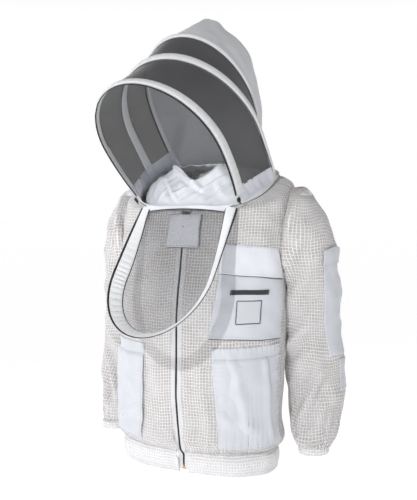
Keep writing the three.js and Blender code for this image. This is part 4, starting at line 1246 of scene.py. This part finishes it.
def add_hood_skirts(m):
    for side, sign in (("left", 1), ("right", -1)):
        def wall(u, v):
            g = 0.005 + 1.98 * u
            share = np.where(g < 1, g, g - 1)
            first = gore_point(HOOP_FRONT, HOOP_MID, np.ones_like(v), share)
            second = gore_point(HOOP_MID, HOOP_REAR, np.ones_like(v), share)
            ahead, behind = mix(FOOT_ANGLES["front"], 0.0, share), mix(0.0, FOOT_ANGLES["rear"], share)
            ring = ring_point(np.where(g < 1, ahead, behind), HOOD_FOOT)
            s = mix(1.0, SKIRT_SHARE - 0.004, v)
            front = gore_point(HOOP_FRONT, HOOP_MID, s, share)
            rear = gore_point(HOOP_MID, HOOP_REAR, s, share)
            pick = (g < 1)[..., None]
            shift = ring - np.where(pick, first, second)
            return np.where(pick, front, rear) + shift * ((1 - v) ** 3)[..., None]

        base = on_side(grid(wall, 200, 44), sign)
        run = lengths(base, 1)
        share = np.linspace(0, 1, 45)[:, None]
        height = 1.8 * wobble(base, 30, 151 + sign)
        height = height + 2.6 * (ripple(run, 33, 155 + sign) - 0.6) * smooth(share * 3)
        height = height * (0.25 + 0.75 * np.sin(math.pi * share)) - 0.5
        points = raised(base, height)
        piece = add_grid(f"hood_skirt_{side}_cloth", points, m["skirt"], thickness=1.2)
        finish(piece, "hood", "poplin", f"hood_skirt_{side}")
        where = {"rows": (0.06, 0.94), "lift": 1.0}
        sew(f"hood_skirt_{side}_stitches", points, m["thread"], "hood", "poplin", **where)


def add_gores(m):
    """Netting between the bands, tucked a little under their edges."""
    for name, front, back, far in (("front", HOOP_FRONT, HOOP_MID, 2), ("mid", HOOP_MID, HOOP_REAR, 9)):
        def gore(u, v):
            s = mix(-SKIRT_SHARE - 0.006, SKIRT_SHARE + 0.006, u)
            gap = np.linalg.norm(arch_point(back, s) - arch_point(front, s), axis=-1)
            start, end = GORE_TUCK / gap, 1 - far / gap
            return gore_point(front, back, s, mix(start, end, v))

        base = grid(gore, 200, 30)
        edge = np.sin(math.pi * np.linspace(0, 1, 31))[:, None]
        points = raised(base, 2.0 * wobble(base, 90, 161) * edge)
        piece = add_grid(f"veil_{name}_netting", points, m["veil"])
        finish(piece, "hood", "veil_netting", f"veil_gore_{name}")


def hood_section(u, v):
    """The hood's back at height v: a quarter of an oval from the rear hoop (u 0) to the centre seam (u 1)."""
    w = v[..., None]
    first, second, peak = HOOD_BACK_SEAM
    foot = ring_point(270, HOOD_FOOT)
    seam = (1 - w) ** 3 * foot + 3 * w * (1 - w) ** 2 * first + 3 * w * w * (1 - w) * second
    seam = seam + w ** 3 * peak
    hoop = arch_point(HOOP_REAR, 1 - v)
    share = np.sin(math.pi / 2 * u) ** HOOD_BACK_ROUND
    point = mix(hoop, seam, share[..., None])
    point[..., 0] = hoop[..., 0] * np.maximum(np.cos(math.pi / 2 * u), 0) ** HOOD_BACK_ROUND
    return point


def hood_back_half(u, v):
    ring = ring_point(mix(FOOT_ANGLES["rear"], -90.0, u), HOOD_FOOT)
    point = hood_section(u, v) + (ring - hood_section(u, 0 * v)) * ((1 - v) ** 3)[..., None]
    point[..., 2] += (2 + 6 * hump(point[..., 0] - 21, 13) * smooth(u * 3)) * smooth((v - 0.6) / 0.3)
    above = np.maximum(point[..., 2] - PEAK_ROUND["above"], 0)
    point[..., 2] += PEAK_ROUND["within"] * np.tanh(above / PEAK_ROUND["within"]) - above
    return point


HOOD_BACK_FOLDS = (
    ((60, 60, 420), (118, 90, 150), 17, 7.0),
    ((20, 100, 440), (60, 120, 200), 16, 6.0),
    ((100, -40, 350), (120, 100, 110), 16, 5.5),
)


def add_hood_back(m):
    for side, sign in (("left", 1), ("right", -1)):
        base = on_side(grid(hood_back_half, 110, 200), sign)
        u = np.linspace(0, 1, 111)[None]
        u = u if sign > 0 else u[:, ::-1]
        v = np.linspace(0, 1, 201)[:, None]
        calm = smooth(u * 10) * smooth((1 - u) * 10) * smooth(v * 8) * smooth((1 - v) * 10)
        height = 3.4 * wobble(base, 75, 171 + sign) + 1.4 * wobble(base, 30, 173 + sign)
        height += folded(base, HOOD_BACK_FOLDS, sign)
        points = raised(base, height * calm)
        points[..., 0] = sign * np.maximum(sign * points[..., 0], 0)
        piece = add_grid(f"hood_back_{side}_cloth", points, m["hood"], thickness=1.6)
        finish(piece, "hood", "hood_cloth", f"hood_back_{side}")
        if sign > 0:
            seam = points[4:, -1] + [0, 0.6, 0.4]
            pipe("hood_centre_seam", seam, 1.9, m["hood"], "hood", "hood_cloth")
            rim = points[4:, 0]
        else:
            rim = points[4:, -1]
        pipe(f"hood_rim_{side}", rim + [0, 0.5, 0.8], 1.6, m["hood"], "hood", "hood_cloth")


def add_half_zip(m, name, line, across, out, body, node):
    """Half of an opened zip: its black tape and a row of teeth at the free edge, which is towards across."""
    tape = add_sweep(name + "_tape", (line, across, out), ellipse(2.9, 0.8, 8), m["black_tape"])
    finish(tape, body, "zip_coil", node)
    groups = [line_beads(line + across * 2.1, out, TOOTH_STEP, (0.95, 1.2, 1.2), 0.4)]
    finish(add_beads(name + "_teeth", groups, m["coil"]), body, "zip_coil")


def add_veil_zip_hood(m):
    origin, across, out = hoop_frames(HOOP_FRONT, HOOP_MID, -2.6, -FOOT, FOOT, 400)
    add_half_zip(m, "veil_zip_hood", origin + out * 0.8, -across, out, "hood", "veil_zip_hood_half")
    # Thin dark cords along the rear and mid bands: partly the dark line where the netting doubles, partly
    # painted shade of the bands' undersides.
    for name, hoop, neighbour in (("rear", HOOP_REAR, HOOP_MID), ("mid", HOOP_MID, HOOP_REAR)):
        shift = 14.2 if name == "rear" else -0.8
        origin, across, out = hoop_frames(hoop, neighbour, shift, -SKIRT_SHARE, SKIRT_SHARE, 300)
        radius = 1.5 if name == "rear" else 0.9
        frames = (origin + out * 1.2, across, out)
        line = add_sweep(f"hoop_dark_line_and_shade_{name}", frames, ellipse(radius, radius, 8), m["piping"])
        finish(line, "hood", "binding")


def neck_band(low, high):
    """A narrow band round the neckline, between two heights above it."""
    def band(u, v):
        return ring_point(360.0 * (1 - u) + 90, mix(low, high, v))

    return grid(band, 360, 4)


def add_neck_zip(m):
    for name, low, high, body, node in (
        ("jacket", 2.4, 5.2, "jacket", "neck_zip_jacket_half"),
        ("hood", 5.6, 8.4, "hood", "neck_zip_hood_half"),
    ):
        points = neck_band(low, high)
        lifted = raised(points, 0.4, True)
        piece = add_grid(f"neck_zip_{name}_tape", lifted, m["tape"], wrap=True, thickness=1.4)
        finish(piece, body, "zip_coil", node)
        row = points[-1] if name == "jacket" else points[0]
        out = normals(points, True)[2]
        groups = [line_beads(row, out, TOOTH_STEP, (0.95, 1.0, 1.1), 1.2)]
        finish(add_beads(f"neck_zip_{name}_teeth", groups, m["coil"]), body, "zip_coil")
    edge = neck_band(8.8, 11.0)
    line = edge[2] + normals(edge, True)[2] * 1.0
    pipe("neck_piping", line, 1.8, m["webbing"], "hood", "binding")
    low_edge = neck_band(0.4, 2.0)
    points = raised(low_edge, 1.6, True)
    points[..., 2] -= 0.6
    pipe("neck_binding", points[2], 1.9, m["mesh"], "jacket", "mesh_cloth")


def collar_base(u, v):
    angle = 360.0 * (1 - u) + 90
    low = body_point(angle, NECK_LEVEL + 0 * angle)
    foot = stack(low[..., 0] * 0.92, low[..., 1] * 0.92, low[..., 2] + 3)
    c, s = np.cos(np.radians(angle)), np.sin(np.radians(angle))
    away = np.abs((angle - 90 + 180) % 360 - 180)
    reach = smooth((away - 4) / 46)
    x = (58 + 24 * reach) * c
    y = 8 - np.where(s > 0, 56, 72) * s
    top = 54 + 38 * reach + 0.06 * y
    head = stack(x, y, top)
    rise = v ** 0.85
    point = mix(foot, head, v[..., None])
    point[..., 2] = mix(foot[..., 2], top, rise)
    lip = smooth((v - 0.86) / 0.14)
    point[..., 0] += 5 * lip * c
    point[..., 1] -= 5 * lip * s
    point[..., 2] -= 3 * lip * lip
    return point


COLLAR_FOLDS = (
    ((78, -38, 84), (-52, -80, 8), 6, 7.0),
    ((-80, -36, 84), (30, -78, 22), 6, 6.5),
    ((84, -50, 58), (-20, -92, -10), 5, 5.5),
    ((-96, -40, 56), (-40, -82, -6), 5, 6.0),
    ((110, -40, 46), (60, -86, -8), 6, 6.0),
    ((-60, -60, 66), (-96, -52, 4), 5, 4.5),
    ((-5, -66, 58), (-8, -74, 26), 3, 4.0),
)


def add_collar(m):
    base = grid(collar_base, 280, 100)
    v = np.linspace(0, 1, 101)[:, None]
    height = 4.2 * wobble(base, 42, 181) + 1.8 * wobble(base, 17, 183)
    height += folded(base, COLLAR_FOLDS)
    for place in range(10):
        turn = math.radians(200 + 14 * place)
        x, y = 74 * math.cos(turn), 12 - 70 * math.sin(turn)
        height += fold(base, (x, y, 96), (x * 1.7, y * 1.3, 36), 8, 3.0)
    points = raised(base, height * (0.15 + 0.85 * smooth(v * 5)), wrap=True)
    points[:, -1] = points[:, 0]
    piece = add_grid("collar_cloth", points, m["poplin"], wrap=True, thickness=1.3)
    finish(piece, "jacket", "poplin", "neck_collar")
    where = {"rows": (0.93,), "lift": 0.9, "span": (0.0, 1.0)}
    sew("collar_stitches", points, m["thread"], "jacket", "poplin", **where)
    turn = math.pi * np.linspace(0, 1, 60)
    loop = stack(22 * np.cos(turn), 96 + 4 * np.sin(turn), 58 - 34 * np.sin(turn))
    out = stack(np.cos(turn), 0 * turn, -np.sin(turn))
    frames = (loop, np.tile([0, 1.0, 0], (60, 1)), out)
    band = add_sweep("hanger_loop_tape", frames, ellipse(3.4, 0.8, 12), m["tape"])
    finish(band, "jacket", "zip_tape", "hanger_loop")


# ---------- front veil ----------
def door_edge(s, inset):
    length = DOOR_ARCH["length"] - inset
    waist = DOOR_ARCH["waist"] * DOOR_ARCH["length"] / length
    arch = {"x": DOOR_ARCH["x"] - inset, "half": DOOR_ARCH["half"] - inset, "length": length, "waist": waist}
    return arch_shape(arch, s)


def door_depth(down, across):
    sag = DOOR["depth"] * smooth(down / DOOR["deep_at"])
    return sag - DOOR["bulge"] * (1 - smooth(down / DOOR["bulge_end"])) * (1 - across * across)


def door_place(x, down, depth):
    drop = math.radians(DOOR["drop"])
    y = HOOP_FRONT["y"] - down * math.sin(drop) + depth * math.cos(drop)
    return stack(x, y, HOOP_FRONT["z"] - down * math.cos(drop) - depth * math.sin(drop))


DOOR_START = 1 - DOOR["top"] * (1 - ARCH_SHARE) / (DOOR_ARCH["waist"] * DOOR_ARCH["length"])
WALL_START = 1 - 14 * (1 - ARCH_SHARE) / (DOOR_ARCH["waist"] * DOOR_ARCH["length"])


def add_door(m):
    def netting(u, v):
        x, down = door_edge(mix(DOOR_START, 0.001, v), DOOR["wall"] - 0.5)
        across = 2 * u - 1
        extra = 2 * (1 - across * across) * smooth(down / DOOR["deep_at"])
        return door_place(x * across, down, door_depth(down, across * 0.85) + extra)

    base = grid(netting, 110, 150)
    u = np.linspace(0, 1, 111)[None]
    v = np.linspace(0, 1, 151)[:, None]
    calm = np.sin(math.pi * u) * np.sin(math.pi * np.clip(v, 0, 1))
    points = raised(base, 1.6 * wobble(base, 70, 191) * calm)
    piece = add_grid("door_veil_netting", points, m["door_veil"])
    finish(piece, "veil_door", "door_netting", "door_netting")

    steps = 700
    dense = np.linspace(-WALL_START, WALL_START, 4000)
    run = lengths(door_place(*door_edge(dense, 0), 0 * dense)[None], 1)[0]
    s = np.interp(np.linspace(0, run[-1], steps + 1), run, dense)
    outer_x, outer_down = door_edge(s, 0)
    inner_x, inner_down = door_edge(s, DOOR["wall"])
    outer = door_place(outer_x, outer_down, 0 * s)
    inner = door_place(inner_x, inner_down, door_depth(inner_down, np.full_like(s, 0.85)))
    across = unit(inner - outer)
    along = unit(np.gradient(outer, axis=0))
    out = unit(np.cross(along, across))
    half = np.linalg.norm(inner - outer, axis=-1) / 2
    centre = (outer + inner) / 2
    turn = 2 * math.pi * np.arange(28) / 28
    shape = stack(signed_power(np.cos(turn), 0.8), signed_power(np.sin(turn), 1.15))
    run = lengths(centre[None], 1)[0]
    middle = run[-1] / 2
    pleats = hump(run - middle + 190, 150) * 2.6 * (ripple(run, 17, 195) - 0.5)
    pleats = pleats + 0.8 * wobble(centre, 40, 196)
    section = shape[None] * np.stack([half + 0.2, np.full_like(half, 2.9)], -1)[:, None]
    section = section + np.stack([0 * run, pleats], -1)[:, None] * (1 - np.abs(shape[None, :, :1]) ** 3)
    wall = add_sweep("door_wall_cloth", (centre, across, out), section, m["wall"])
    finish(wall, "veil_door", "binding", "door_binding")
    for number, place in enumerate((-0.86, 0.86)):
        line = centre + across * (half * place)[:, None]
        for face, sign in (("front", -1), ("rear", 1)):
            groups = [line_beads(line, out * sign, STITCH_STEP, STITCH, 1.7)]
            stitches = add_beads(f"door_wall_{face}_stitches_{number}", groups, m["thread"])
            finish(stitches, "veil_door", "binding")
    frames = (inner + across * 0.3, across, out)
    trim = add_sweep("door_inner_trim", frames, ellipse(1.5, 1.5, 8), m["black_tape"])
    finish(trim, "veil_door", "binding")
    pipe("door_top_trim", points[0] + [0, -0.6, 0.4], 1.3, m["black_tape"], "veil_door", "binding")
    add_half_zip(m, "veil_zip_door", outer - across * 2.6, -across, out, "veil_door", "veil_zip_door_half")
    add_door_top(m)


def add_door_top(m):
    """The strip of poplin between the hood's half of the neck zip and the dropped veil's top edge."""
    def strip(u, v):
        across = 2 * u - 1
        x = across * (DOOR_ARCH["x"] - 4)
        angle = angle_of_x(x, NECK_LEVEL + 0 * x)
        low = ring_point(angle, HOOD_FOOT)
        down = DOOR["top"] - 1 + 0 * x
        high = door_place(x * 0.86, down, door_depth(down, across))
        middle = (low + high) / 2 + np.array([0, -2, 11.0])
        w = v[..., None]
        return (1 - w) ** 2 * low + 2 * w * (1 - w) * middle + w * w * high

    base = grid(lambda u, v: strip(u, 1 - v), 200, 40)
    v = np.linspace(0, 1, 41)[:, None]
    height = 1.8 * wobble(base, 26, 201) + 1.0 * wobble(base, 12, 203)
    height += fold(base, (-70, -100, -14), (60, -108, -20), 5, 3.0)
    points = raised(base, height * np.sin(math.pi * v) + 0.2)
    piece = add_grid("door_top_cloth", points, m["poplin"], thickness=1.3)
    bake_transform(piece)
    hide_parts("door_base_strip")


# ---------- zip sliders ----------
def box_points(size, centre):
    """Corners of a chamfered block, in local coordinates along, across and out."""
    a, b, c = (value / 2 for value in size)
    cut = min(size) * 0.28
    points = []
    for sx in (-1, 1):
        for sy in (-1, 1):
            for sz in (-1, 1):
                points += [(sx * (a - cut), sy * b, sz * (c - cut)), (sx * a, sy * (b - cut), sz * (c - cut))]
                points += [(sx * (a - cut), sy * (b - cut), sz * c)]
    return np.array(points) + np.array(centre)


def add_hulls(name, blocks, centre, axes, material):
    """Chamfered blocks joined in one piece, placed by a centre and the directions along, across and out."""
    work = bmesh.new()
    for size, place in blocks:
        local = box_points(size, place)
        points = (np.array(centre) + local @ np.array(axes)) * MM
        made = [work.verts.new(point) for point in points.tolist()]
        bmesh.ops.convex_hull(work, input=made)
    mesh = bpy.data.meshes.new(name)
    work.to_mesh(mesh)
    work.free()
    return link(name, mesh, material)


def box_centre(node):
    low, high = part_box(node)
    return (np.array(low) + np.array(high)) / 2 / MM


def add_slider(name, node, slot, material, along, out, size, pull=0.0):
    """A zip slider in the place of its plain block: base plate, top plate, bridge and, when a pull length is
    given, a small pull.
    """
    along = unit(np.array(along, float))
    out = unit(np.array(out, float) - along * np.dot(out, along))
    length, width, height = size
    blocks = [
        ((length, width, height * 0.28), (0, 0, -height * 0.36)),
        ((length * 0.92, width * 0.92, height * 0.28), (0, 0, height * 0.2)),
        ((length * 0.3, width * 0.3, height * 0.6), (length * 0.2, 0, 0)),
        ((length * 0.62, width * 0.34, height * 0.24), (0, 0, height * 0.44)),
    ]
    if pull:
        blocks.append(((pull, width * 0.5, height * 0.2), (-length * 0.35 - pull / 2, 0, height * 0.3)))
        blocks.append(((pull * 0.3, width * 0.72, height * 0.26), (-length * 0.35 - pull, 0, height * 0.3)))
    piece = add_hulls(name, blocks, box_centre(node), (along, np.cross(out, along), out), material)
    piece.data.polygons.foreach_set("use_smooth", np.zeros(len(piece.data.polygons), bool))
    finish(piece, node, slot, node)


def add_sliders(m):
    """Each slider's node rides the body of the same name."""
    zip_up = (0, -0.28, 0.96)
    add_slider(
        "main_slider", "main_zip_slider", "slider_metal", m["nickel"], zip_up, (0, -1, 0.1), (12, 9, 4)
    )
    along = unit(np.array(zip_up))
    out = unit(np.cross(along, [1.0, 0, 0]))
    out = out if out[1] < 0 else -out
    blocks = [((26, 4.4, 1.3), (0, 0, 0)), ((9, 6, 1.6), (-10, 0, 0)), ((4, 6, 1.6), (12, 0, 0))]
    axes = (along, np.cross(out, along), out)
    pull = add_hulls("main_pull", blocks, box_centre("main_zip_pull"), axes, m["nickel"])
    finish(pull, "main_zip_pull", "slider_metal", "main_zip_pull")
    lean = math.radians(HOOP_FRONT["lean"])
    for side, sign in (("left", 1), ("right", -1)):
        add_slider(
            f"neck_slider_{side}", f"neck_zip_slider_{side}", "slider_metal", m["nickel"],
            (sign, 0, 0), (0, -0.9, -0.46), (13, 9, 3.4),
        )
        add_slider(
            f"veil_slider_{side}", f"veil_zip_slider_{side}", "slider_black", m["black_metal"],
            (sign * 0.2, -math.sin(lean), math.cos(lean)), (sign, -0.4, -0.2), (14, 9.5, 6), 7,
        )


def dress_stays(frame, m):
    """The spring-wire stays keep the CAD's shape and get their steel."""
    for name in ("hoop_stay_front", "hoop_stay_mid", "hoop_stay_rear", "door_stay"):
        stay = frame["nodes"][name]
        stay.data.materials.clear()
        stay.data.materials.append(m["steel"])


# ---------- camera, light and floor ----------
CAMERA = {"azimuth": 28.01, "distance": 2.5116, "height": -0.0144, "down": 2.92, "lens": 65.9376}
CAMERA_SHIFT = (0.0084, 0.0006)
# Lights: name, place, target, size in metres and power in watts.
LIGHTS = (
    ("key", (0.0, -2.7, 1.05), (0, -0.1, -0.1), 0.07, 34),
    ("left", (-2.2, -1.6, -0.4), (0, -0.1, -0.2), 0.8, 12),
    ("rim", (-2.6, 1.6, 1.4), (0, 0, 0), 1.6, 42),
)
# The sky's brightness (To) over its height (From).
SKY = {"From Min": 0.2, "From Max": 0.6, "To Min": 1.0, "To Max": 0.2}
FLOOR = {"z": -1.2, "half": 40, "glow": 0.8}


def add_camera():
    azimuth, down = math.radians(CAMERA["azimuth"]), math.radians(CAMERA["down"])
    data = bpy.data.cameras.new("camera")
    data.sensor_width = 36
    data.lens = CAMERA["lens"]
    data.shift_x, data.shift_y = CAMERA_SHIFT
    camera = bpy.data.objects.new("camera", data)
    camera.location = (
        CAMERA["distance"] * math.sin(azimuth),
        -CAMERA["distance"] * math.cos(azimuth),
        CAMERA["height"],
    )
    look = Vector((-math.sin(azimuth) * math.cos(down), math.cos(azimuth) * math.cos(down), -math.sin(down)))
    camera.rotation_mode = "QUATERNION"
    camera.rotation_quaternion = look.to_track_quat("-Z", "Y")
    bpy.context.scene.collection.objects.link(camera)
    bpy.context.scene.camera = camera


def add_area_light(name, place, target, size, power):
    data = bpy.data.lights.new(name, "AREA")
    data.shape = "DISK"
    data.size = size
    data.energy = power
    lamp = bpy.data.objects.new(name, data)
    lamp.location = place
    lamp.rotation_mode = "QUATERNION"
    lamp.rotation_quaternion = (Vector(target) - Vector(place)).to_track_quat("-Z", "Y")
    bpy.context.scene.collection.objects.link(lamp)


def add_sky():
    """White all round and dim overhead, so that the cloth shades from above."""
    world = bpy.data.worlds.new("studio")
    world.use_nodes = True
    tree = world.node_tree
    back = tree.nodes["Background"]
    spot = tree.nodes.new("ShaderNodeTexCoord")
    parts = tree.nodes.new("ShaderNodeSeparateXYZ")
    tree.links.new(spot.outputs["Generated"], parts.inputs[0])
    ramp = tree.nodes.new("ShaderNodeMapRange")
    for name, value in SKY.items():
        ramp.inputs[name].default_value = value
    tree.links.new(parts.outputs[2], ramp.inputs[0])
    tree.links.new(ramp.outputs[0], back.inputs["Strength"])
    back.inputs["Color"].default_value = (1, 1, 1, 1)
    bpy.context.scene.world = world


def add_floor():
    half, z = FLOOR["half"], FLOOR["z"]
    mesh = bpy.data.meshes.new("floor")
    corners = [(-half, -half, z), (half, -half, z), (half, half, z), (-half, half, z)]
    mesh.from_pydata(corners, [], [(0, 1, 2, 3)])
    r = Recipe("floor")
    diffuse = r.surface(r.blend(r.noise(0.4, 2), (0.46, 0.46, 0.47), (0.50, 0.50, 0.51)), 0.9)
    glow = r.node("Emission", {"Color": (1, 1, 1, 1), "Strength": FLOOR["glow"]}).outputs[0]
    link("floor", mesh, r.done(r.node("AddShader", {0: diffuse, 1: glow}).outputs[0]))


def add_studio():
    bpy.context.scene.view_settings.view_transform = "Standard"
    add_sky()
    for light in LIGHTS:
        add_area_light(*light)
    add_floor()


def main():
    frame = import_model()
    add_camera()
    add_studio()
    m = make_materials()
    add_body_panels(m)
    add_waistband(m)
    add_main_zip(m)
    add_chest_pocket(m)
    add_badge(m)
    add_hip_pockets(m)
    add_zip_flap(m)
    add_sleeves(m)
    add_hoop(m, "front", HOOP_FRONT, HOOP_MID, 24)
    add_hoop(m, "mid", HOOP_MID, HOOP_REAR, 24)
    add_hoop(m, "rear", HOOP_REAR, HOOP_MID, 13)
    add_hood_skirts(m)
    add_gores(m)
    add_hood_back(m)
    add_veil_zip_hood(m)
    add_neck_zip(m)
    add_collar(m)
    add_door(m)
    add_sliders(m)
    dress_stays(frame, m)


main()
